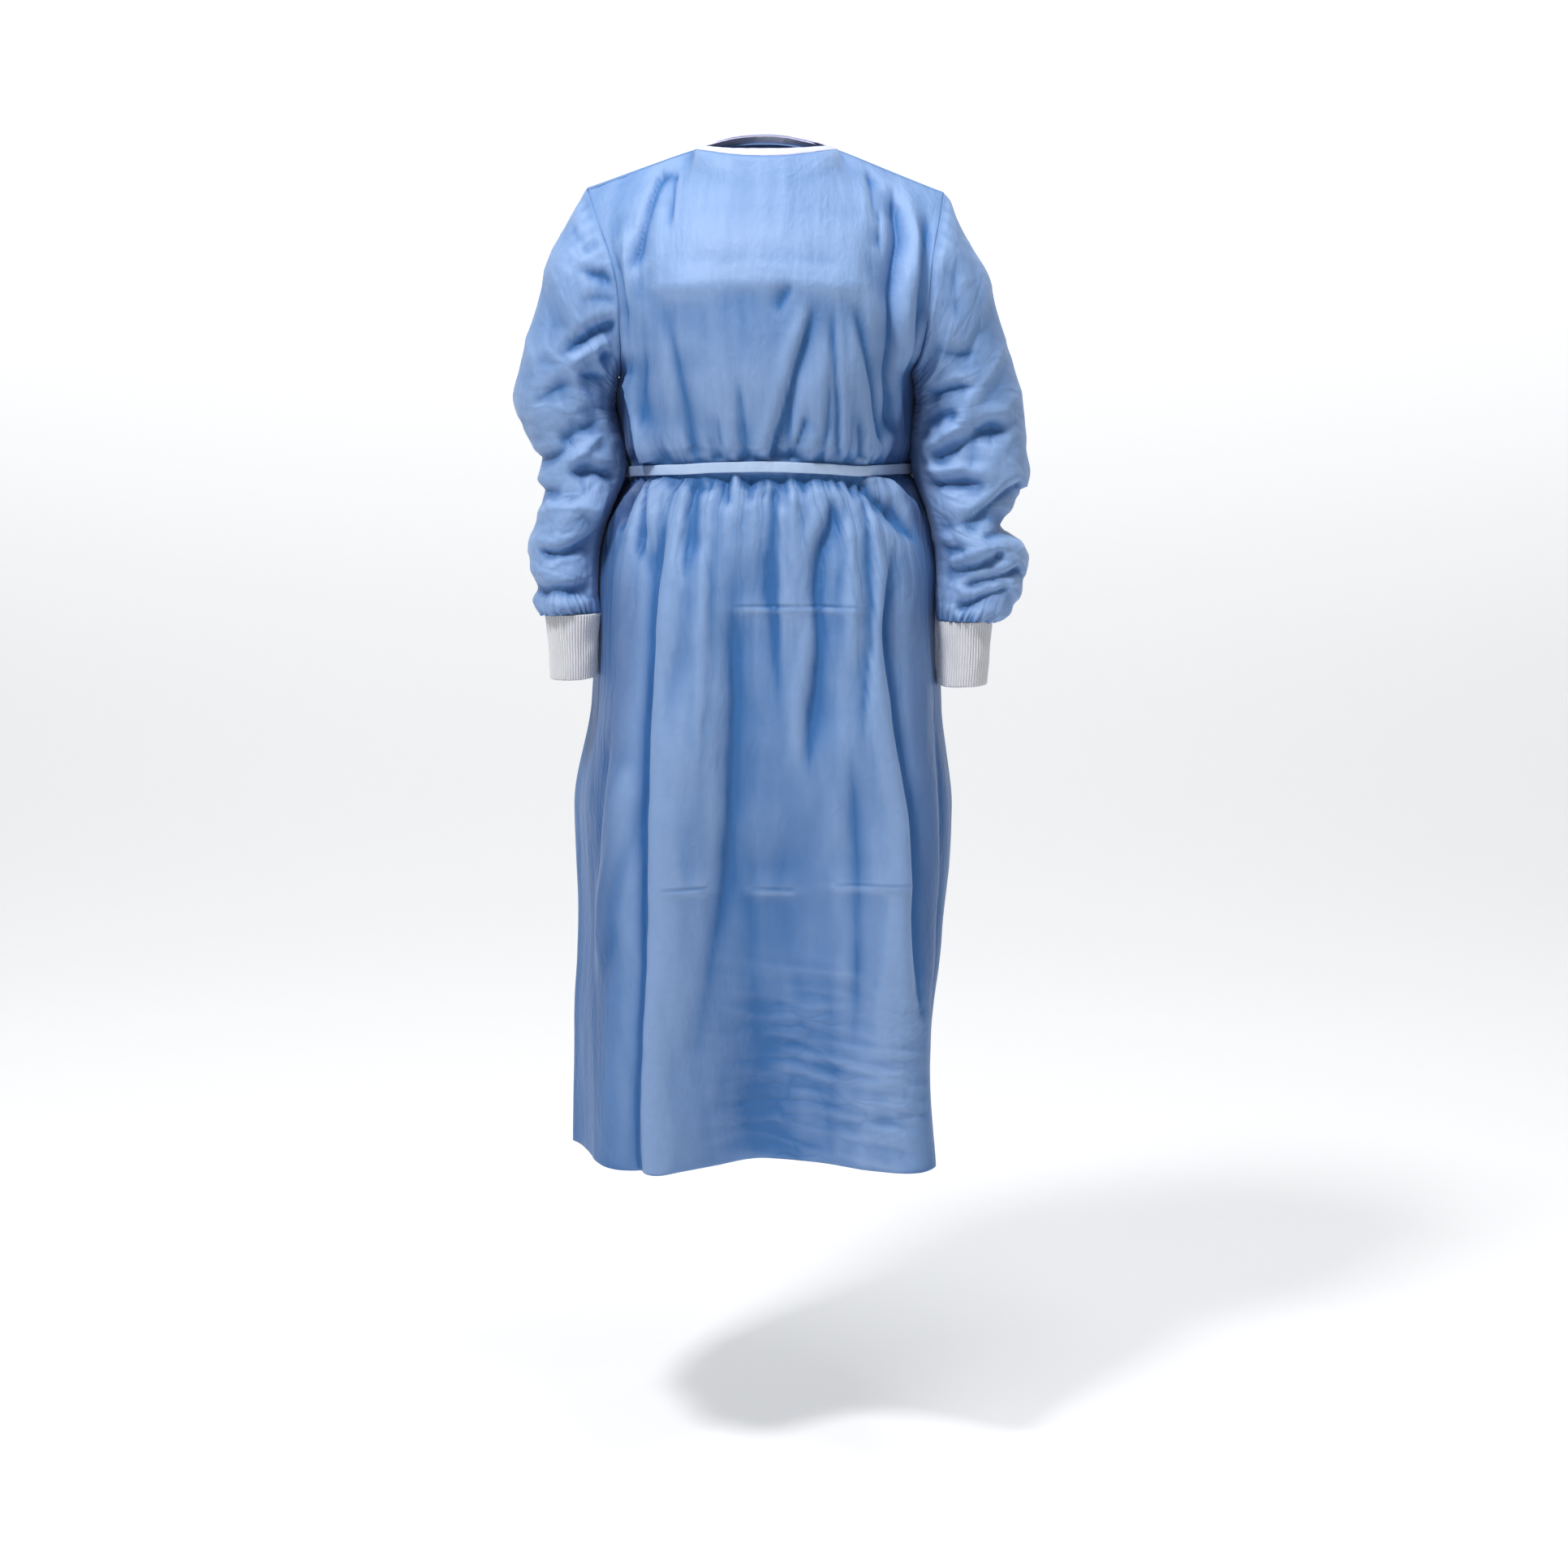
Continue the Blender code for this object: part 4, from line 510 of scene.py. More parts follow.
def lay_pressed(u, z, table, seed):
    """The pressed lines of a table, as heights out of the cloth."""
    out = np.zeros(u.shape)
    for number, row in enumerate(table.values()):
        line = dict(zip(PRESS_COLUMNS, row))
        away = z - line["z"] + 0.0012 * noise2(u / 0.05, np.full(u.shape, number * 2.3), seed)
        ends = smooth((u - line["u_from"] + 0.020) / 0.040) * smooth((line["u_to"] + 0.020 - u) / 0.040)
        sharp = np.where(away > 0, np.clip(1 - away / (line["reach"] * 3.2), 0, 1) ** 1.3, np.exp(away / (line["reach"] * 0.55))) + line["step"] / max(line["height"], 1e-4) * np.tanh(-away / 0.0025) * np.exp(-np.abs(away) / 0.012)
        out += line["height"] * sharp * ends
    return out


# ---------------------------------------------------------------- panels
class Panel:
    """The plain outer face of the front or of the whole back: points for arrays of s and of depth."""

    def __init__(self, table, armhole, facing, neck):
        self.facing, self.neck = facing, neck
        edges = {**armhole, **SIDE_SEAM}
        self.names = list(table)
        rows = np.array([table[name] + edges[name] for name in self.names])
        self.depths = -rows[:, len(COLUMNS)]
        self.columns = {name: rising(self.depths, rows[:, k]) for k, name in enumerate(COLUMNS)}
        corner = self.names.index("underarm")
        for k, name in enumerate(EDGE_COLUMNS, len(COLUMNS)):
            above = rising(self.depths[: corner + 1], rows[: corner + 1, k])
            below = rising(self.depths[corner:], rows[corner:, k])
            self.columns[name] = lambda depth, a=above, b=below, at=self.depths[corner]: np.where(depth <= at, a(depth), b(depth))

    def depth(self, name):
        return self.depths[self.names.index(name)]

    def section(self, s, depth):
        c = {name: at(depth) for name, at in self.columns.items()}
        out, zero = self.facing, np.zeros(len(depth))
        nodes = np.stack([
            np.stack([c["x_right"] * 0.98 - c["lean_right"], c["y_edge"] - out * 0.10], -1),
            np.stack([c["x_right"], c["y_edge"]], -1),
            np.stack([c["x_fold_right"], c["y_fold_right"]], -1),
            np.stack([zero, c["y_mid"]], -1),
            np.stack([c["x_fold_left"], c["y_fold_left"]], -1),
            np.stack([c["x_left"], c["y_edge"]], -1),
            np.stack([c["x_left"] * 0.98, c["y_edge"] - out * 0.10], -1),
        ], 1)
        before, after = nodes[:, 1:-1] - nodes[:, :-2], nodes[:, 2:] - nodes[:, 1:-1]
        near, far = np.linalg.norm(before, axis=2, keepdims=True), np.linalg.norm(after, axis=2, keepdims=True)
        heading = unit(before / near * far + after / far * near)
        stops = np.array([-1.0, -FOLD_S, 0.0, FOLD_S, 1.0])
        i = np.clip(np.searchsorted(stops, s, side="left") - 1, 0, 3)
        t = ((s - stops[i]) / (stops[i + 1] - stops[i]))[None, :, None]
        a, b = nodes[:, i + 1], nodes[:, i + 2]
        chord = np.linalg.norm(b - a, axis=2, keepdims=True)
        ta, tb = heading[:, i] * chord, heading[:, i + 1] * chord
        xy = (1 + 2 * t) * (1 - t) ** 2 * a + t * (1 - t) ** 2 * ta + t * t * (3 - 2 * t) * b + t * t * (t - 1) * tb
        z = c["z_edge"][:, None] + (c["z_mid"] - c["z_edge"])[:, None] * (1 - np.abs(s)[None] ** 1.6)
        return np.concatenate([xy, z[..., None]], axis=2)

    def top(self, s):
        """The neckline and the two shoulder seams."""
        turn = np.clip(s / NECK_S, -1, 1) * math.pi / 2
        y, z = self.neck
        neck = np.stack([NECK_HALF_WIDTH * np.sin(turn), y * np.cos(turn), z * np.cos(turn) ** 2], -1)
        t = np.clip((np.abs(s) - NECK_S) / (1 - NECK_S), 0, 1)
        end = np.where((s > 0)[:, None], np.array([SHOULDER_LEFT]), np.array([SHOULDER_RIGHT]))
        start = np.copysign(NECK_HALF_WIDTH, s)
        seam = np.stack([start + (end[:, 0] - start) * t, np.zeros(len(s)), end[:, 1] * t], -1)
        return np.where((np.abs(s) <= NECK_S)[:, None], neck, seam)

    def plain(self, s, depth):
        points = self.section(s, depth)
        down = (depth - self.depths[0]) / NECK_EASE
        keep = np.where(down < 1, (1 - down) ** 2 * (1 + 2 * down), 0.0)[:, None, None]
        return points + (self.top(s) - self.section(s, self.depths[:1])[0])[None] * keep


def grid_normals(grid, closed=False):
    """Unit directions out of a grid whose rows run down and whose columns run to the right, seen from outside."""
    if closed:
        across = np.roll(grid, -1, 1) - np.roll(grid, 1, 1)
    else:
        across = np.gradient(grid, axis=1)
    return unit(np.cross(np.gradient(grid, axis=0), across))


def soften(grid, times, closed=False):
    """The grid with each point moved towards its neighbours, its edges kept."""
    for _ in range(times):
        side = np.roll(grid, 1, 1) + np.roll(grid, -1, 1)
        mean = (grid[:-2] + grid[2:] + side[1:-1]) / 4
        new = grid.copy()
        if closed:
            new[1:-1] = (grid[1:-1] + mean) / 2
        else:
            new[1:-1, 1:-1] = (grid[1:-1, 1:-1] + mean[:, 1:-1]) / 2
        grid = new
    return grid


def even_s(panel, first, last, step):
    """Values of s about step apart on the cloth at knee height."""
    fine = np.linspace(-1, 1, 801)
    row = panel.section(fine, np.array([panel.depth("knee")]))[0]
    run = np.concatenate([[0.0], np.cumsum(np.linalg.norm(np.diff(row, axis=0), axis=1))])
    start, end = np.interp([first, last], fine, run)
    return np.interp(np.linspace(start, end, int(round((end - start) / step)) + 1), run, fine)


def even_depths(panel, step):
    """Depths of the rows, closer together round the belt."""
    fine = np.linspace(panel.depths[0], panel.depths[-1], 2000)
    belt = (panel.depth("belt_top") + panel.depth("belt_foot")) / 2
    rate = 1 + 0.6 * np.exp(-(((fine - belt) / 0.030) ** 2)) + 0.42 * smooth((fine - 0.84) / 0.06)
    run = np.concatenate([[0.0], np.cumsum((rate[1:] + rate[:-1]) / 2 * np.diff(fine))])
    return np.interp(np.linspace(0, run[-1], int(round(run[-1] / step)) + 1), run, fine)


def gathers(width, seed):
    """The uneven little pleats that the belt draws the cloth into: rounded tops and pinched bottoms."""
    first = noise2(width / 0.034, np.full(width.shape, 0.5), seed) * 1.5
    second = 1 - 3.0 * np.abs(noise2(width / 0.021, np.full(width.shape, 3.5), seed + 1))
    third = 1 - 3.0 * np.abs(noise2(width / 0.013, np.full(width.shape, 6.5), seed + 2))
    return (first + 0.55 * second - 0.30 * third) / 1.5 - 0.10


def belt_pleats(u, z, at_belt, seed):
    """Rows of creases that the belt's pull draws in the cloth, long and short, below it and above it."""
    table = {}
    dice = np.random.default_rng(seed)
    for way, gap, longest, deepest in ((1, 0.0135, 0.260, 0.0052), (-1, 0.0185, 0.130, 0.0036)):
        spot = u[at_belt].min() + 0.012
        while spot < u[at_belt].max() - 0.010:
            column = int(np.abs(u[at_belt] - spot).argmin())
            strength = dice.random()
            length = 0.030 + longest * strength**2.2
            drift = (dice.random() - 0.5) * 0.16
            path = []
            for share in (0.0, 0.25, 0.5, 0.75, 1.0):
                level = z[at_belt, column] - way * (0.005 + length * share)
                row = int(np.abs(z[:, column] - level).argmin())
                path.append((u[row, column] + drift * length * share, z[row, column]))
            height = -(0.0013 + (deepest - 0.0013) * dice.random() * (0.4 + 0.6 * strength))
            if dice.random() < 0.36:
                height = -0.75 * height
            fades = (0.02, 0.75) if way > 0 else (0.02, 0.80)
            table[f"{way}_{len(table)}"] = (0.0030 + 0.0030 * dice.random(), height, 0.0, *fades, tuple(path))
            spot += gap * (0.45 + 1.0 * dice.random())
    return table


def pressed_marks(u, z, table, seed):
    """For the look of the fine pressed lines: how far each point is above the nearest one, and how clear it is there."""
    away, share = np.full(u.shape, 9.0), np.zeros(u.shape)
    for number, row in enumerate(table.values()):
        line = dict(zip(PRESS_COLUMNS, row))
        if line["reach"] > 0.012 or line["height"] < 0:
            continue
        gap = z - line["z"] + 0.0010 * noise2(u / 0.05, np.full(u.shape, number * 2.3), seed)
        ends = smooth((u - line["u_from"]) / 0.012) * smooth((line["u_to"] - u) / 0.012)
        clear = np.clip(0.75 + 0.8 * noise2(u / 0.024, np.full(u.shape, number * 1.7), seed + 3), 0.15, 1.2)
        nearer = (np.abs(gap) < np.abs(away)) & (ends > 0) | (away > 8)
        away, share = np.where(nearer, gap, away), np.where(nearer, ends * clear * smooth((0.024 - np.abs(gap)) / 0.008), share)
    return np.clip(away, -0.05, 0.05), share


def panel_form(panel, s, creases, pressed, seed):
    """The creased outer face of a panel: points, directions out, and coordinates on the cloth."""
    depth = even_depths(panel, SIMPLE * 1.10)
    order = s if panel.facing < 0 else s[::-1]
    plain = panel.plain(order, depth)
    # The distance across, from the midline, whatever part of the panel this is.
    whole = np.linspace(-1, 1, 401)
    rows = panel.plain(whole, depth)
    run = np.concatenate([np.zeros((len(depth), 1)), np.cumsum(np.linalg.norm(np.diff(rows, axis=1), axis=2), axis=1)], axis=1)
    u = np.array([np.interp(order, whole, r - r[200]) for r in run])
    belt_depth = (panel.depth("belt_top") + panel.depth("belt_foot")) / 2
    at_belt = int(np.abs(depth - belt_depth).argmin())
    grain = np.broadcast_to(u[at_belt][None], u.shape)
    z = plain[..., 2]
    below = (np.broadcast_to((depth - belt_depth)[:, None], u.shape))
    # The neckline's corners don't carry on down the cloth. A free edge is smoothed as if the cloth went on.
    more = 44
    first, last = (more if abs(order[0]) < 0.999 else 0), (more if abs(order[-1]) < 0.999 else 0)
    before = order[0] + (order[0] - order[1]) * np.arange(first, 0, -1)
    after = order[-1] + (order[-1] - order[-2]) * np.arange(1, last + 1)
    calm = soften(panel.plain(np.concatenate([before, order, after]), depth), 160)[:, first : first + len(order)]
    from_neck = np.linalg.norm(plain - plain[:1], axis=2)
    blend = (smooth((from_neck - 0.004) / 0.035) * smooth((0.20 - from_neck) / 0.05))[..., None]
    plain = plain + (calm - plain) * blend
    out = grid_normals(plain)
    side = unit(np.gradient(plain, axis=1)) * (1.0 if panel.facing < 0 else -1.0)

    lift, across = lay_creases(u, z, creases, seed, 0, 1.12, 0.0014)
    lift = lift + lay_pressed(u, z, pressed, seed)
    drawn, _ = lay_creases(u, z, belt_pleats(u, z, at_belt, seed + 1), seed + 2, 0, 1.0, 0.0010)
    lift = lift + drawn
    pleats = gathers(grain, seed + 40)
    # They run a little to one side as they leave the belt, and the finer ones end first.
    away = np.abs(below)
    drifted = gathers(grain + 0.10 * below * noise2(grain / 0.10, 0 * grain + 1.7, seed + 45), seed + 40)
    pleats = drifted * smooth((away - 0.004) / 0.010) + pleats * (1 - smooth((away - 0.004) / 0.010))
    above_fade = 0.0009 * np.exp(-np.clip(-below - 0.006, 0, 1) / 0.016) + 0.0008 * np.exp(-np.clip(-below - 0.006, 0, 1) / 0.080)
    below_fade = 0.0003 * np.exp(-np.clip(below - 0.006, 0, 1) / 0.018) + 0.0014 * np.exp(-np.clip(below - 0.006, 0, 1) / 0.130)
    lift = lift + pleats * np.where(below < 0, above_fade, below_fade)
    streaks = crumpled(u / 0.020, z / 0.300, seed + 80)
    lift = lift + streaks * (0.0009 * np.exp(-np.clip(below, 0, 2) / 0.25) * smooth(below / 0.02) + 0.0006 * smooth((-below - 0.01) / 0.02))
    # Under the belt itself the cloth is drawn flat.
    strap = np.exp(-((below / 0.0085) ** 4))
    lift = lift * (1 - 0.85 * strap) + 0.0
    # The cloth fills out above and below the belt.
    lift = lift + 0.0009 * np.exp(-(((below + 0.017) / 0.008) ** 2)) + 0.0006 * np.exp(-(((below - 0.018) / 0.010) ** 2))
    wx, wz = u + 0.012 * noise2(u / 0.08, z / 0.12, seed + 58), z + 0.020 * noise2(u / 0.08, z / 0.12, seed + 59)
    rough = 0.0028 * facets(wx / 0.058, wz / 0.300, seed + 60) - 0.0022 * facets(wx / 0.046 + 0.4, wz / 0.200, seed + 64) + 0.0007 * facets(wx / 0.022, wz / 0.060, seed + 67)
    if panel.facing < 0:
        crushed = smooth((u + 0.120) / 0.15) * smooth((0.225 - u) / 0.07) * smooth((-0.825 - z) / 0.12)
    else:
        crushed = smooth((0.20 - np.abs(u)) / 0.12) * smooth((-0.72 - z) / 0.16) * smooth((z + 1.10) / 0.12) * 0.7
    tilt = z + 0.10 * u + 0.012 * noise2(u / 0.12, z / 0.10, seed + 69)
    level = 0.0034 * facets(u / 0.085, tilt / 0.017, seed + 70, 1.2) - 0.0020 * facets(u / 0.060 + 0.3, tilt / 0.013, seed + 74, 1.2)
    level = level * (0.8 + 0.9 * noise2(u / 0.09, z / 0.07, seed + 77))
    lift = lift + rough * (1 - 0.5 * strap) + crushed * level
    press, press_share = pressed_marks(u, z, pressed, seed)
    drawn_in = np.where(below < 0, 0.75 * np.exp(-np.clip(-below, 0, 1) / 0.055), np.exp(-np.clip(below, 0, 2) / 0.120))
    fine = {
        "grain": grain + 0.12 * below * noise2(grain / 0.09, 0 * grain + 2.9, seed + 46),
        "below": below,
        "drawn": (0.92 * drawn_in + 0.08) * (1 - strap),
        "press": press,
        "press_share": press_share,
        "crush": crushed**2 * np.clip(0.55 + 1.3 * noise2(u / 0.075, z / 0.055, seed + 79), 0, 1.1),
    }
    # Sewn edges stay together: nothing lifts them off each other.
    edge = np.ones(u.shape)
    for k, end in ((0, order[0]), (-1, order[-1])):
        if abs(end) > 0.999:
            away = np.abs(u - u[:, [k]])
            edge = edge * smooth(away / 0.014)
            lift = lift - 0.0004 * np.exp(-((away / 0.0022) ** 2))
    from_top = np.linalg.norm(plain - plain[:1], axis=2)
    edge = edge * smooth(from_top / 0.012)
    lift = lift * edge - (0.0010 * np.exp(-((from_top / 0.0026) ** 2)))
    points = plain + out * lift[..., None] + side * (across * edge)[..., None]
    return {"points": points, "s": order, "depth": depth, "u": u, "z": z, "lift": lift, "belt_row": at_belt, "fine": fine}


def lap_rise(s):
    """How far the upper back lies out of the lower one."""
    return (0.0019 + 0.0011 * smooth((s + LAP_S) / 0.10)) * (1 - smooth((s - LAP_S - 0.02) / 0.16))


# ---------------------------------------------------------------- making meshes
def grid_mesh(name, points, cloth_xy, tone, thick, closed=False, fine=None):
    """A thin wall of cloth from a grid of its outer face, with its flat coordinates and its painted shading."""
    rows, cols = points.shape[:2]
    spans = cols if closed else cols - 1
    r, c = np.meshgrid(np.arange(rows - 1), np.arange(spans), indexing="ij")
    n = (c + 1) % cols
    faces = np.stack([r * cols + c, (r + 1) * cols + c, (r + 1) * cols + n, r * cols + n], -1).reshape(-1, 4)
    mesh = bpy.data.meshes.new(name)
    flat = points.reshape(-1, 3)
    mesh.vertices.add(len(flat))
    mesh.vertices.foreach_set("co", flat.astype(np.float32).ravel())
    mesh.loops.add(faces.size)
    mesh.loops.foreach_set("vertex_index", faces.astype(np.int32).ravel())
    mesh.polygons.add(len(faces))
    mesh.polygons.foreach_set("loop_start", np.arange(0, faces.size, 4, dtype=np.int32))
    mesh.update(calc_edges=True)
    mesh.validate()
    layer = mesh.uv_layers.new(name="cloth")
    place = cloth_xy.reshape(-1, 2)[faces.ravel()].copy()
    if closed:  # the last column's faces reach round to the first
        turn = np.repeat((c.ravel() == cols - 1), 4) & np.isin(np.arange(faces.size) % 4, (2, 3))
        width = cloth_xy[:, -1, 0] + (cloth_xy[:, -1, 0] - cloth_xy[:, -2, 0])
        row_of = np.repeat(r.ravel(), 4) + np.isin(np.arange(faces.size) % 4, (1, 2))
        place[turn, 0] = width[row_of[turn]]
    layer.uv.foreach_set("vector", place.astype(np.float32).ravel())
    for key, values in {"tone": tone, **(fine or {})}.items():
        mark = mesh.attributes.new(key, "FLOAT", "POINT")
        mark.data.foreach_set("value", values.astype(np.float32).ravel())
    mesh.shade_smooth()
    obj = bpy.data.objects.new(name, mesh)
    bpy.context.scene.collection.objects.link(obj)
    if thick:
        wall = obj.modifiers.new("wall", "SOLIDIFY")
        wall.thickness = thick
        wall.offset = -1.0
        wall.use_even_offset = False
        wall.use_rim = True
    return obj


def painted_shading_of(points, closed=False):
    """Painted shading: -1, painted shade, in the bottoms of folds to +1, painted light, on their tops, from how the
    cloth bends.
    """
    calm = soften(points, 22 if closed else 14, closed)
    broad = soften(calm, 94 if closed else 60, closed)
    out = grid_normals(calm, closed)
    near, wide = ((points - calm) * out).sum(-1), ((calm - broad) * out).sum(-1)
    return np.clip(near / 0.0016 + wide / 0.0040, -1, 1)


def turn_in(points, out, row, column, depth):
    """The grid with one more row or column, turned in behind the edge as a seam allowance is."""
    if row is not None:
        added = (points[row] - out[row] * depth)[None]
        return np.concatenate([added, points] if row == 0 else [points, added])
    added = (points[:, column] - out[:, column] * depth)[:, None]
    return np.concatenate([added, points] if column == 0 else [points, added], axis=1)


def build_cloth(name, form, thick=0.0006):
    """A panel piece from its form, with the cloth's flat coordinates and its seam edges turned in."""
    points, out = form["points"], form["out"].copy()
    u, tone, fine = form["u"], form["tone"], form["fine"]
    depth = 0.0035
    for column, end in ((0, form["s"][0]), (-1, form["s"][-1])):
        if abs(end) > 0.999:
            points = turn_in(points, out, None, column, depth)
            pad = ((0, 0), (1, 0)) if column == 0 else ((0, 0), (0, 1))
            out = np.pad(out, pad + ((0, 0),), mode="edge")
            u = np.pad(u, pad, mode="edge") + (np.pad(np.zeros_like(u), pad, constant_values=depth) * (-1 if u[0, column] < 0 else 1))
            tone = np.pad(tone, pad, mode="edge")
            fine = {key: np.pad(values, pad, mode="edge") for key, values in fine.items()}
    points = turn_in(points, out, 0, None, depth)
    u, tone = np.pad(u, ((1, 0), (0, 0)), mode="edge"), np.pad(tone, ((1, 0), (0, 0)), mode="edge")
    fine = {key: np.pad(values, ((1, 0), (0, 0)), mode="edge") for key, values in fine.items()}
    run = np.cumsum(np.concatenate([np.zeros((1, points.shape[1])), np.linalg.norm(np.diff(points, axis=0), axis=2)]), axis=0)
    flat_xy = np.stack([u, -run.mean(axis=1)[:, None] + 0 * u], -1)
    return grid_mesh(name, points, flat_xy, tone, thick, fine=fine)


front_panel = Panel(FRONT, FRONT_ARMHOLE, -1, NECK_FRONT)
back_panel = Panel(BACK, BACK_ARMHOLE, 1, NECK_BACK)
front_form = panel_form(front_panel, even_s(front_panel, -1.0, 1.0, SIMPLE), FRONT_CREASES, FRONT_PRESSED, 100)
left_form = panel_form(back_panel, even_s(back_panel, -LAP_S, 1.0, SIMPLE), BACK_CREASES, BACK_PRESSED, 200)
right_form = panel_form(back_panel, even_s(back_panel, -1.0, LAP_S, SIMPLE), BACK_CREASES, BACK_PRESSED, 200)
# The upper back lies over the lower one, so it is moved out by the lap's rise.
left_out = grid_normals(left_form["points"])
for form, strength in ((front_form, 1.0), (left_form, 0.5), (right_form, 0.5)):
    u, z = form["u"], form["z"]
    # Round the sides the front's shade eases to that of the backs.
    end = np.where(u < 0, np.abs(u.min(axis=1, keepdims=True)), u.max(axis=1, keepdims=True))
    ease = 1 - 0.5 * smooth((np.abs(u) - end + 0.105) / 0.095) * smooth((-0.36 - z) / 0.10) if form is front_form else 1.0
    # Painted light on the upper chest; painted shade past the sides of the waist and down the sides of the skirt.
    painted_chest_light = smooth((u + 0.150) / 0.05) * smooth((0.125 - u) / 0.05) * smooth((z + 0.1485) / 0.003) * smooth((0.01 - z) / 0.10)
    beyond = np.abs(u) - (0.163 + (z + 0.235) * 0.14)
    painted_shade = smooth(beyond / 0.010) * smooth((-0.215 - z) / 0.03) * smooth((z + 0.36) / 0.03)
    low = smooth((np.abs(u) - 0.150) / 0.05) * smooth((-0.34 - z) / 0.08)
    form["area_tone"] = strength * (0.50 * painted_chest_light - 0.9 * painted_shade - 1.1 * low * ease)
    # The sides of the waist and of the skirt lie in the shade of the arms.
    waist = np.abs(u) - (0.138 + 0.60 * np.clip(z + 0.335, 0, 1) + 0.82 * np.clip(-0.352 - z, 0, 1))
    side_line = np.abs(u) - (0.136 + 0.115 * np.clip(-0.50 - z, 0, 1))
    form["fine"]["dim"] = np.clip(
        0.66 * smooth(waist / 0.014) * smooth((-0.230 - z) / 0.04) * smooth((z + 0.46) / 0.08)
        + 0.34 * smooth(side_line / 0.030) * smooth((-0.40 - z) / 0.08) * smooth((z + 1.3) / 0.4), 0, 0.7
    ) * ease * (1.0 if form is front_form else 0.5)
left_form["points"] = left_form["points"] + left_out * lap_rise(left_form["s"])[None, :, None]
# The lower back goes deeper the further it reaches under the upper one.
under = smooth((right_form["s"] + LAP_S + 0.02) / 0.16)[None, :] * smooth((right_form["depth"] - right_form["depth"][0]) / 0.03)[:, None]
right_form["points"] = right_form["points"] - grid_normals(right_form["points"]) * (0.0012 * under)[..., None]
for form in (front_form, left_form, right_form):
    form["raw"] = form["points"]
    form["points"] = form["points"] + sway(form["points"])
    form["out"] = grid_normals(form["points"])
    form["tone"] = np.clip(painted_shading_of(form["points"]) + form["area_tone"], -1, 1)


# ---------------------------------------------------------------- sleeves
def edge_run(form, side):
    """A panel's armhole edge from the shoulder to the underarm, and then its side seam."""
    column = -1 if (form["s"][-1] * side > 0.999) else 0
    return form["raw"][:, column]


def even_points(line, count):
    run = np.concatenate([[0.0], np.cumsum(np.linalg.norm(np.diff(line, axis=0), axis=1))])
    stops = np.linspace(0, run[-1], count)
    return np.stack([np.interp(stops, run, line[:, k]) for k in range(3)], -1)


def smooth_rows(rows, per):
    """Catmull-Rom through rings, each a closed loop of points, per steps to each span by its own length."""
    rows = np.array(rows)
    full = np.concatenate([[2 * rows[0] - rows[1]], rows, [2 * rows[-1] - rows[-2]]])
    out = []
    for i in range(len(rows) - 1):
        a, b, c, d = full[i : i + 4]
        for t in np.linspace(0, 1, per[i], endpoint=False):
            out.append(0.5 * (2 * b + (c - a) * t + (2 * a - 5 * b + 4 * c - d) * t * t + (3 * b - a - 3 * c + d) * t**3))
    out.append(rows[-1])
    return np.array(out)


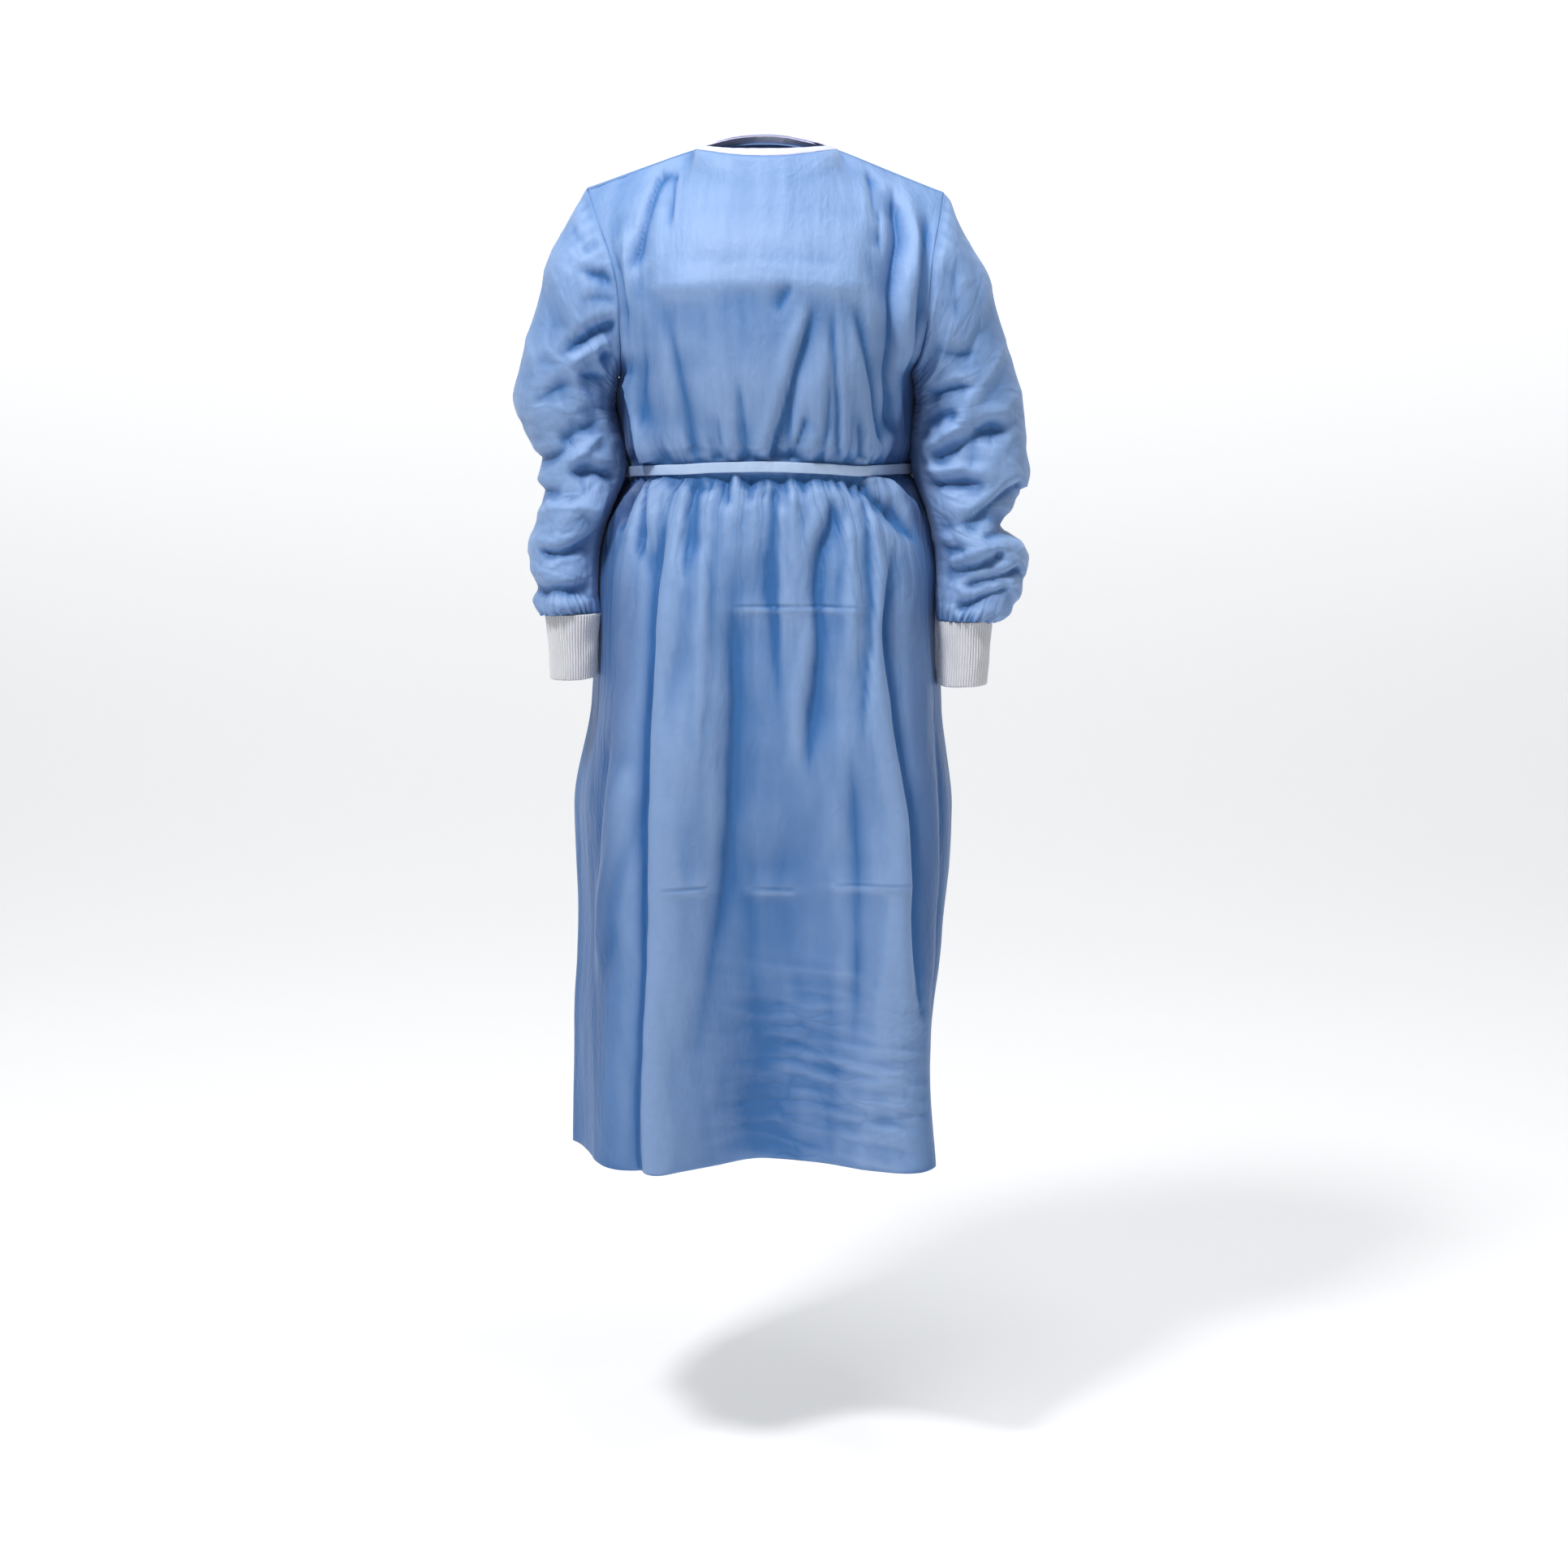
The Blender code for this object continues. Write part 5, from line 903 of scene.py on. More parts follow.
def sleeve_form(rings, side, creases, seed, count=168):
    front_edge = edge_run(front_form, side)
    back_edge = edge_run(right_form if side < 0 else left_form, side)
    under_front = int(np.abs(front_form["depth"] - front_panel.depth("underarm")).argmin())
    under_back = int(np.abs((right_form if side < 0 else left_form)["depth"] - back_panel.depth("underarm")).argmin())
    half = count // 2
    down = even_points(front_edge[: under_front + 1], half + 1)
    up = even_points(back_edge[: under_back + 1], half + 1)[::-1]
    loop = np.concatenate([down, up[1:-1]])
    loop = loop + np.array([side * 0.0002, 0.0, 0.0])
    turn = 2 * math.pi * np.arange(count) / count
    rows = [loop]
    for row in rings.values():
        ring = dict(zip(RING_COLUMNS, row))
        outer = np.array([ring["x_outer"], ring["y_middle"], ring["z_outer"]])
        inner = np.array([ring["x_inner"], ring["y_middle"], ring["z_inner"]])
        middle, across = (outer + inner) / 2, (outer - inner) / 2
        rows.append(middle + across[None] * np.cos(turn)[:, None] + np.array([[0.0, -ring["half_depth"], 0.0]]) * np.sin(turn)[:, None])
    gaps = [np.linalg.norm(rows[i + 1] - rows[i], axis=1).max() for i in range(len(rows) - 1)]
    grid = smooth_rows(rows, [max(3, int(round(g / 0.0029))) for g in gaps])
    # The columns run to the right seen from outside, from the seam under the arm and back to it.
    if side > 0:
        grid = grid[:, (half - np.arange(count)) % count]
        angle = math.pi - turn
    else:
        grid = grid[:, (half + np.arange(count)) % count]
        angle = math.pi + turn
    out = grid_normals(grid, closed=True)
    length = np.concatenate([[0.0], np.cumsum(np.linalg.norm(np.diff(grid, axis=0), axis=2).mean(axis=1))])
    facing_front = np.broadcast_to(np.sin(angle)[None], grid.shape[:2])
    x, z = grid[..., 0], grid[..., 2]
    front_share = smooth((facing_front + 0.30) / 0.45)
    lift, across = lay_creases(x, z, creases, seed, 1, 1.25, 0.0008)
    # Seen from behind, its own uneven set: the same pulls, moved and turned a little.
    bx, bz = x * 0.985 + 0.004 * side, z - 0.012 + 0.10 * (np.abs(x) - 0.205)
    back_lift, _ = lay_creases(bx, bz, creases, seed + 9, 1, 1.25, 0.0008)
    lift = lift * front_share + back_lift * (1 - front_share) * 0.85
    down_v = length[:, None] + 0 * z
    # Soft ring folds where the sleeve is short of room, tighter towards the wrist.
    turn_noise = 0.008 * noise2(np.cos(angle)[None] * 1.4 + 0 * z, np.sin(angle)[None] * 1.4 + down_v * 9, seed + 30)
    rings_of = noise2((down_v + turn_noise * 1.5) / 0.021, np.cos(angle)[None] * 1.1 + 7.0 + 0 * z, seed + 31) + 0.6 * noise2((down_v + turn_noise) / 0.013, np.sin(angle)[None] * 1.3 + 3.0 + 0 * z, seed + 32)
    low = smooth((down_v - length[-1] * 0.35) / (length[-1] * 0.4))
    lift = lift + rings_of * (0.0004 + 0.0012 * low) * (0.15 + 0.85 * (1 - front_share))
    # Laid on the cylinder's two sides apart, so that the pattern closes round the arm.
    slant = down_v + 0.15 * (x - x.mean())
    front_set = 0.0088 * facets(x / 0.046, (slant + 0.25 * x * side) / 0.040, seed + 40, 1.0) - 0.0050 * facets(x / 0.034 + 0.5, (slant - 0.3 * x * side) / 0.030, seed + 44, 1.0)
    back_set = 0.0088 * facets(x / 0.046 + 9.3, slant / 0.040 + 4.1, seed + 48, 1.0) - 0.0050 * facets(x / 0.034 + 5.2, slant / 0.030 + 2.7, seed + 52, 1.0)
    turn_share = smooth((facing_front + 0.35) / 0.7)
    rough = (front_set * turn_share + back_set * (1 - turn_share)) * (0.75 + 0.25 * low) + 0.0007 * facets(np.cos(angle)[None] * 2.4 + 0 * z, np.sin(angle)[None] * 1.3 + down_v / 0.020, seed + 56)
    lift = lift + rough
    # Gathers on to the cuff.
    to_wrist = length[-1] - down_v
    pleats = np.cos(angle[None] * 23 + 3.2 * noise2(np.cos(angle)[None] * 2 + 0 * z, np.sin(angle)[None] * 2 + 0 * z, seed + 50)) + 0.6 * np.cos(angle[None] * 37 + 1.3)
    lift = lift + 0.0019 * pleats * np.exp(-np.clip(to_wrist, 0, 1) / 0.014)
    lift = lift + 0.0045 * (0.7 + 0.6 * noise2(np.cos(angle)[None] * 1.6 + 0 * z, np.sin(angle)[None] * 1.6 + 0 * z, seed + 52)) * np.exp(-(((to_wrist - 0.014) / 0.008) ** 2))
    lift = lift - 0.0022 * np.exp(-((to_wrist / 0.0045) ** 2))
    # At the armhole the sleeve meets the body's edge, with a little ease over the top of the shoulder.
    down_each = np.concatenate([np.zeros((1, count)), np.cumsum(np.linalg.norm(np.diff(grid, axis=0), axis=2), axis=0)])
    ease = 0.0011 * np.cos(angle[None] * 29 + 1.0) * smooth((np.cos(angle)[None] - 0.1) / 0.6) * np.exp(-down_each / 0.018)
    lift = (lift + ease) * smooth(down_each / 0.014) - 0.0004 * np.exp(-((down_each / 0.0026) ** 2))
    down_way = unit(np.gradient(grid, axis=0))
    inner = smooth((-np.cos(angle)[None] - 0.62) / 0.30) * smooth(down_each / 0.010)
    lift = lift * (1 - inner) + np.clip(lift, -0.0045 + 0.0040 * smooth((-np.cos(angle)[None] - 0.74) / 0.14), 0.0005) * inner
    points = grid + out * lift[..., None] - down_way * (across * front_share * (1 - inner) * smooth(down_each / 0.014))[..., None]
    points = points + sway(points)
    flat_xy = np.stack([np.broadcast_to(angle[None] * 0.058, z.shape) + 0.4 * (side > 0), -down_v], -1)
    return {"points": points, "flat": flat_xy, "angle": angle, "length": length}


right_sleeve = sleeve_form(SLEEVE_RIGHT, -1, SLEEVE_CREASES_RIGHT, 300)
left_sleeve = sleeve_form(SLEEVE_LEFT, 1, SLEEVE_CREASES_LEFT, 400)


# ---------------------------------------------------------------- cuffs
def cuff_form(table, side, ribs=58, per_rib=8, seed=500):
    """A ribbed knit tube. Ribs run down, and the tube narrows a little towards the open end."""
    rows = [dict(zip(CUFF_COLUMNS, row)) for row in table.values()]
    heights = -np.array([row["z"] for row in rows])
    at = {key: rising(heights, [row[key] for row in rows]) for key in CUFF_COLUMNS if key != "z"}
    count = ribs * per_rib
    turn = -2 * math.pi * np.arange(count) / count
    depth = np.linspace(heights[0] + 0.0004, heights[-1], 46)
    t = (depth - depth[0]) / (depth[-1] - depth[0])
    drift = 0.05 * noise2(np.cos(turn)[None] * 1.2 + 0 * t[:, None], np.sin(turn)[None] * 1.2 + t[:, None] * 1.8, seed)
    rib = np.cos(ribs * turn[None] + drift * 6)
    rib = np.sign(rib) * np.abs(rib) ** 0.7
    swell = 1 + 0.035 * noise2(np.cos(turn)[None] * 1.0 + 0 * t[:, None], np.sin(turn)[None] + t[:, None] * 2.5, seed + 1)
    grow = 0.00055 * rib + 0.0009 * noise2(turn[None] * 2.2 + 0 * t[:, None], t[:, None] * 3.0 + 0 * turn[None], seed + 2)
    wide = at["half_width"](depth)[:, None] * swell + grow - 0.0006
    deep = at["half_depth"](depth)[:, None] * swell + grow - 0.0006
    x = at["x_middle"](depth)[:, None] + wide * np.cos(turn)[None]
    y = CUFF_Y + deep * np.sin(turn)[None]
    z = -depth[:, None] + 0 * x + 0.0012 * noise2(turn[None] * 1.3 + 0 * t[:, None], 0 * turn[None] + 0.5 * t[:, None], seed + 3) * t[:, None]
    points = np.stack([x, y, z], -1)
    shift = sway(points)
    points = points + shift
    flat_xy = np.stack([np.broadcast_to(turn[None] * 0.031, x.shape), -np.broadcast_to((depth - depth[0])[:, None], x.shape)], -1)
    return points, flat_xy, np.broadcast_to(rib, x.shape)


# ---------------------------------------------------------------- neck binding, belt, knot and tails
def neck_route():
    """Points of the panels' neck edges from the lower back's free edge round the front to the upper back's."""
    lower = right_form["points"][0][np.abs(right_form["s"]) < NECK_S + 1e-6]
    middle = front_form["points"][0][np.abs(front_form["s"]) < NECK_S + 1e-6]
    upper = left_form["points"][0][np.abs(left_form["s"]) < NECK_S + 1e-6]
    # Seen from outside the back runs from its left, so the lower back starts at its free edge.
    line = np.concatenate([lower, middle[1:-1], upper])
    return even_points(line, 420)


def soft_line(line, times):
    for _ in range(times):
        line = np.concatenate([line[:1], (line[:-2] + 2 * line[1:-1] + line[2:]) / 4, line[-1:]])
    return line


def ribbon(name, centre, out, up, width, thick, flat_u=0.0, cols=9, wave=0.0, seed=1, closed=False):
    """A folded strip: a rounded flat tube along a line of centres. out and up are unit directions at each."""
    count = len(centre)
    turn = 2 * math.pi * np.arange(20) / 20
    px = np.sign(np.cos(turn)) * np.abs(np.cos(turn)) ** 0.6 * thick / 2
    py = np.sign(np.sin(turn)) * np.abs(np.sin(turn)) ** 0.45 * width / 2
    side_wave = wave * noise2(np.arange(count) / 9.0, np.full(count, 0.3), seed)
    points = centre[:, None] + out[:, None] * (px[None, :, None] + side_wave[:, None, None]) + up[:, None] * py[None, :, None]
    run = np.concatenate([[0.0], np.cumsum(np.linalg.norm(np.diff(centre, axis=0), axis=1))])
    total = count * 20
    verts = points.reshape(-1, 3)
    faces, place = [], []
    for i in range(count if closed else count - 1):
        n = (i + 1) % count
        for j in range(20):
            m = (j + 1) % 20
            faces.append((i * 20 + j, i * 20 + m, n * 20 + m, n * 20 + j))
            far = run[i + 1] if i + 1 < count else run[-1] + 0.004
            place += [(run[i], py[j] + (0.02 if px[j] < 0 else 0)), (run[i], py[m] + (0.02 if px[m] < 0 else 0)), (far, py[m] + (0.02 if px[m] < 0 else 0)), (far, py[j] + (0.02 if px[j] < 0 else 0))]
    mesh = bpy.data.meshes.new(name)
    corners = [tuple(v) for v in verts]
    if not closed:
        for end in (0, count - 1):
            ring = [end * 20 + j for j in range(20)]
            corners.append(tuple(points[end].mean(axis=0)))
            hub = len(corners) - 1
            for j in range(20):
                m = (j + 1) % 20
                faces.append((hub, ring[m], ring[j]) if end == 0 else (hub, ring[j], ring[m]))
                place += [(run[end], 0.0)] * 3
    mesh.from_pydata(corners, [], faces)
    mesh.update()
    layer = mesh.uv_layers.new(name="cloth")
    layer.uv.foreach_set("vector", (np.array(place, np.float32) + np.float32(flat_u)).ravel())
    mark = mesh.attributes.new("tone", "FLOAT", "POINT")
    mark.data.foreach_set("value", np.full(len(corners), 0.15, np.float32))
    # Towards the arms the belt runs into their shade.
    if name == "gown_belt":
        spots = np.array(corners)
        mark = mesh.attributes.new("dim", "FLOAT", "POINT")
        mark.data.foreach_set("value", (0.55 * smooth((np.abs(spots[:, 0]) - 0.112) / 0.025) * smooth((0.03 - spots[:, 1]) / 0.04)).astype(np.float32))
    mesh.shade_smooth()
    obj = bpy.data.objects.new(name, mesh)
    bpy.context.scene.collection.objects.link(obj)
    tris = np.array([f[:3] for f in faces])
    where = np.array(corners)[tris]
    if np.linalg.det(where).sum() < 0:
        mesh.flip_normals()
    return obj


front_obj = build_cloth("gown_front", front_form)
left_obj = build_cloth("gown_back_left", left_form)
right_obj = build_cloth("gown_back_right", right_form)


def build_sleeve(name, form):
    points, flat_xy = form["points"], form["flat"]
    tone = painted_shading_of(points, True)
    from_end = (form["length"][-1] - form["length"])[:, None]
    # Painted light over the whole sleeve, more on the forearm, and painted shade in the gather at the wrist.
    tone = np.clip(tone + 0.12 + 0.44 * smooth((0.28 - from_end) / 0.12) - 0.9 * np.exp(-((from_end / 0.012) ** 2)), -1, 1)
    out = grid_normals(points, True)
    head = points[:1] - out[:1] * 0.0030
    points = np.concatenate([head, points])
    flat_xy = np.concatenate([flat_xy[:1] + np.array([0.0, 0.003]), flat_xy])
    crush = np.full(points.shape[:2], 0.40)
    angle, down = form["angle"][None], np.concatenate([form["length"][:1], form["length"]])[:, None]
    # Painted shade along the sleeve's inner side, where it lies against the body.
    dim = 0.52 * smooth((-np.cos(angle) - 0.62) / 0.34) * smooth((down - 0.04) / 0.08) * smooth((form["length"][-1] - down + 0.02) / 0.10)
    dim = dim * (1 + 0.5 * noise2(angle * 1.6 + 0 * down, down / 0.05, 61))
    return grid_mesh(name, points, flat_xy, np.concatenate([tone[:1], tone]), 0.0006, closed=True, fine={"crush": crush, "dim": np.clip(dim, 0, 0.8)})


sleeve_right_obj = build_sleeve("gown_sleeve_right", right_sleeve)
sleeve_left_obj = build_sleeve("gown_sleeve_left", left_sleeve)
cuff_objs = {}
for side_name, table, seed in (("right", CUFF_RIGHT, 500), ("left", CUFF_LEFT, 540)):
    points, flat_xy, rib = cuff_form(table, side_name, seed=seed)
    # Seen from outside its columns run to the right, so that the wall goes inwards.
    # The ribs' heights go in as painted shading.
    cuff_objs[side_name] = grid_mesh("gown_cuff_" + side_name, points[:, ::-1], flat_xy[:, ::-1], rib[:, ::-1], 0.0010, closed=True)

# Neck binding: a tape folded over the edge, its ends lapped at centre back.
route = soft_line(neck_route(), 30)
inward = unit(np.stack([-route[:, 0], -route[:, 1] * 1.0, np.zeros(len(route))], -1))
share = smooth(np.abs(route[:, 0]) / NECK_HALF_WIDTH)[:, None]
up = unit(inward * (0.45 + 0.45 * share) + np.array([[0.0, 0.0, 1.0]]) * (0.88 - 0.42 * share))
along = unit(np.gradient(route, axis=0))
up = unit(up - along * (up * along).sum(-1, keepdims=True))
out = unit(np.cross(up, along))
out = out * np.sign((out * -inward).sum(-1, keepdims=True) + 1e-9)
centre = route + up * (BINDING_HEIGHT / 2 - 0.0006) - out * 0.0002
wave = 0.00025 * noise2(np.arange(len(route)) / 7.0, np.zeros(len(route)), 71)[:, None]
binding_obj = ribbon("gown_neck_binding", centre + up * wave, out, up, BINDING_HEIGHT, 0.0017, wave=0.0003, seed=72)

# Belt: a narrow strip round the waist, from the cloth's own belt rows.
def belt_line(form, keep):
    row = form["belt_row"]
    chosen = keep(form["s"])
    middle = form["points"][row - 1 : row + 2].mean(axis=0)
    face = form["out"][row - 2 : row + 3].mean(axis=0)
    face[:, 2] = 0.0
    return middle[chosen], unit(face)[chosen]


ring_parts = [
    belt_line(front_form, lambda s: np.abs(s) < 0.985),
    belt_line(left_form, lambda s: s < 0.985),
    belt_line(right_form, lambda s: (s < -LAP_S - 0.03) & (s > -0.985)),
]
ring_points = np.concatenate([part[0] for part in ring_parts])
ring_out = np.concatenate([part[1] for part in ring_parts])
run = np.concatenate([[0.0], np.cumsum(np.linalg.norm(np.diff(np.vstack([ring_points, ring_points[:1]]), axis=0), axis=1))])
stops = np.linspace(0, run[-1], 520, endpoint=False)
loop_p = np.stack([np.interp(stops, run, np.append(ring_points[:, k], ring_points[0, k])) for k in range(3)], -1)
loop_o = unit(np.stack([np.interp(stops, run, np.append(ring_out[:, k], ring_out[0, k])) for k in range(3)], -1))


def ring_soft(values, times):
    for _ in range(times):
        values = (np.roll(values, 1, 0) + 2 * values + np.roll(values, -1, 0)) / 4
    return values


tight = ring_soft(loop_p, 60)
loop_o = unit(ring_soft(loop_o, 60))
# Pulled tight, the belt bridges the dips and rests on the highest folds.
gap = ((loop_p - tight) * loop_o).sum(-1)
rest = ring_soft(np.maximum(gap, 0.0)[:, None], 6)[:, 0]
belt_centre = tight + loop_o * (rest + 0.0026)[:, None]
belt_centre[:, 2] = ring_soft(loop_p[:, 2:3], 90)[:, 0] + 0.0006 * noise2(np.arange(520) / 26.0, np.zeros(520), 81)
tilt = 0.10 * noise2(np.arange(520) / 22.0, np.full(520, 2.0), 82)[:, None]
belt_up = unit(np.array([[0.0, 0.0, 1.0]]) + loop_o * tilt)
belt_face = unit(loop_o - belt_up * (loop_o * belt_up).sum(-1, keepdims=True))
belt_obj = ribbon("gown_belt", belt_centre, belt_face, belt_up, BELT_WIDTH, 0.0016, closed=True, seed=83)

# The knot at centre back: a wrap over the belt with a small lobe to each side.
back_i = int(np.argmin(np.abs(belt_centre[:, 0]) + (belt_centre[:, 1] < 0) * 9))
hub, hub_out = belt_centre[back_i], belt_face[back_i]
knot_mid = hub + hub_out * 0.0052
turn = np.linspace(0, 2 * math.pi, 41)[:-1]
side_dir = np.array([1.0, 0.0, 0.0])
upward = np.array([0.0, 0.0, 1.0])
wrap_way = np.cos(turn)[:, None] * hub_out[None] + np.sin(turn)[:, None] * upward[None]
wrap_centre = knot_mid[None] + np.cos(turn)[:, None] * hub_out[None] * 0.0042 + np.sin(turn)[:, None] * upward[None] * 0.0072
lean = unit(side_dir[None] + upward[None] * 0.25)
wrap = ribbon("knot_wrap", wrap_centre, unit(wrap_way), np.repeat(unit(lean - 0 * lean), 40, 0), 0.0085, 0.0015, closed=True, seed=84)
lobes = []
for sign in (-1, 1):
    t = np.linspace(0, 2 * math.pi, 33)[:-1]
    ring_c = knot_mid[None] + side_dir[None] * (sign * (0.0052 + 0.0040 * np.cos(t)))[:, None] + hub_out[None] * (0.0026 * np.sin(t) - 0.0010)[:, None] + upward[None] * (-0.0012 * sign * np.cos(t))[:, None]
    way = unit(side_dir[None] * (sign * np.cos(t))[:, None] + hub_out[None] * (np.sin(t) * 1.4)[:, None])
    lobes.append(ribbon("knot_lobe", ring_c, way, np.repeat(upward[None], 32, 0), 0.0098, 0.0014, closed=True, seed=85 + sign))


def join(first, others):
    """One object from several, with their meshes' data kept."""
    bpy.ops.object.select_all(action="DESELECT")
    for other in others:
        other.select_set(True)
    first.select_set(True)
    bpy.context.view_layer.objects.active = first
    bpy.ops.object.join()
    return first


knot_obj = join(wrap, lobes)
knot_obj.name = "gown_belt_knot"

# The tails hang from the knot and lie on the upper back.
tail_objs = {}
for name, s_head, s_foot, length, seed in (("left", 0.035, 0.085, 0.250, 91), ("right", -0.035, -0.055, 0.285, 95)):
    start = -(knot_mid[2] - 0.0085) + 0.012
    t = np.linspace(0, 1, 90)
    depth_at = start + length * t
    s_at = s_head + (s_foot - s_head) * smooth(t) + 0.006 * noise2(t * 4, np.zeros(90), seed)
    order = np.argsort(left_form["s"])
    s_axis = left_form["s"][order]
    grid_p, grid_o = left_form["points"][:, order], left_form["out"][:, order]

    def look_up(grid, depths, spots):
        r = np.interp(depths, left_form["depth"], np.arange(len(left_form["depth"])))
        c = np.interp(spots, s_axis, np.arange(len(s_axis)))
        r0, c0 = np.minimum(r.astype(int), grid.shape[0] - 2), np.minimum(c.astype(int), grid.shape[1] - 2)
        fr, fc = (r - r0)[:, None], (c - c0)[:, None]
        return (
            grid[r0, c0] * (1 - fr) * (1 - fc) + grid[r0 + 1, c0] * fr * (1 - fc)
            + grid[r0, c0 + 1] * (1 - fr) * fc + grid[r0 + 1, c0 + 1] * fr * fc
        )

    wide = [look_up(grid_p, depth_at, s_at + d) for d in (-0.03, -0.015, 0.0, 0.015, 0.03)]
    ways = unit(sum(look_up(grid_o, depth_at, s_at + d) for d in (-0.03, 0.0, 0.03)))
    base = wide[2]
    high = np.max([((w - base) * ways).sum(-1) for w in wide], axis=0)
    lifted = soft_line(np.stack([high, high, high], -1), 8)[:, 0]
    centre = base + ways * (np.maximum(lifted, 0) + 0.0019 + 0.0045 * (1 - smooth(t / 0.18)))[:, None]
    centre = soft_line(centre, 12)
    centre[0] = centre[1] * 2 - centre[2]
    along = unit(np.gradient(centre, axis=0))
    twist = 0.25 * noise2(t * 3.1, np.full(90, 0.7), seed + 1)[:, None]
    across = unit(np.cross(along, ways))
    face = unit(ways + across * twist)
    face = unit(face - along * (face * along).sum(-1, keepdims=True))
    tail_objs[name] = ribbon("gown_belt_tail_" + name, centre, face, unit(np.cross(along, face)), BELT_WIDTH, 0.0014, seed=seed)


# ---------------------------------------------------------------- materials
def nodes_of(material):
    material.use_nodes = True
    tree = material.node_tree
    return tree, tree.nodes, tree.links, tree.nodes["Principled BSDF"]


def mix_colour(nodes, links, factor, first, second, mode="MIX"):
    node = nodes.new("ShaderNodeMix")
    node.data_type = "RGBA"
    node.blend_type = mode
    for socket, value in ((node.inputs[0], factor), (node.inputs[6], first), (node.inputs[7], second)):
        if isinstance(value, bpy.types.NodeSocket):
            links.new(value, socket)
        elif isinstance(value, (int, float)):
            socket.default_value = value
        else:
            socket.default_value = (*value, 1.0)
    return node.outputs[2]


def maths(nodes, links, operation, *values):
    node = nodes.new("ShaderNodeMath")
    node.operation = operation
    for socket, value in zip(node.inputs, values):
        if isinstance(value, bpy.types.NodeSocket):
            links.new(value, socket)
        else:
            socket.default_value = value
    return node.outputs[0]


def mapped(nodes, links, scale, turn=0.0):
    place = nodes.new("ShaderNodeUVMap")
    place.uv_map = "cloth"
    node = nodes.new("ShaderNodeMapping")
    node.inputs["Scale"].default_value = scale
    node.inputs["Rotation"].default_value = (0, 0, turn)
    links.new(place.outputs[0], node.inputs["Vector"])
    return node.outputs[0]


def noise_node(nodes, links, vector, scale, detail=3.0, rough=0.55):
    node = nodes.new("ShaderNodeTexNoise")
    node.inputs["Scale"].default_value = scale
    node.inputs["Detail"].default_value = detail
    node.inputs["Roughness"].default_value = rough
    links.new(vector, node.inputs["Vector"])
    return node.outputs[0]


def marked(nodes, name):
    node = nodes.new("ShaderNodeAttribute")
    node.attribute_name = name
    return node.outputs["Fac"]


def cells(nodes, links, vector):
    """How far each point is from the border of its cell, on a cloth cut up in uneven cells."""
    node = nodes.new("ShaderNodeTexVoronoi")
    node.voronoi_dimensions = "2D"
    node.feature = "DISTANCE_TO_EDGE"
    node.inputs["Scale"].default_value = 1.0
    links.new(vector, node.inputs["Vector"])
    return node.outputs["Distance"]


def bell(nodes, links, value, centre, width):
    q = maths(nodes, links, "MULTIPLY", maths(nodes, links, "SUBTRACT", value, centre), 1.0 / width)
    return maths(nodes, links, "EXPONENT", maths(nodes, links, "MULTIPLY", maths(nodes, links, "MULTIPLY", q, q), -1.0))


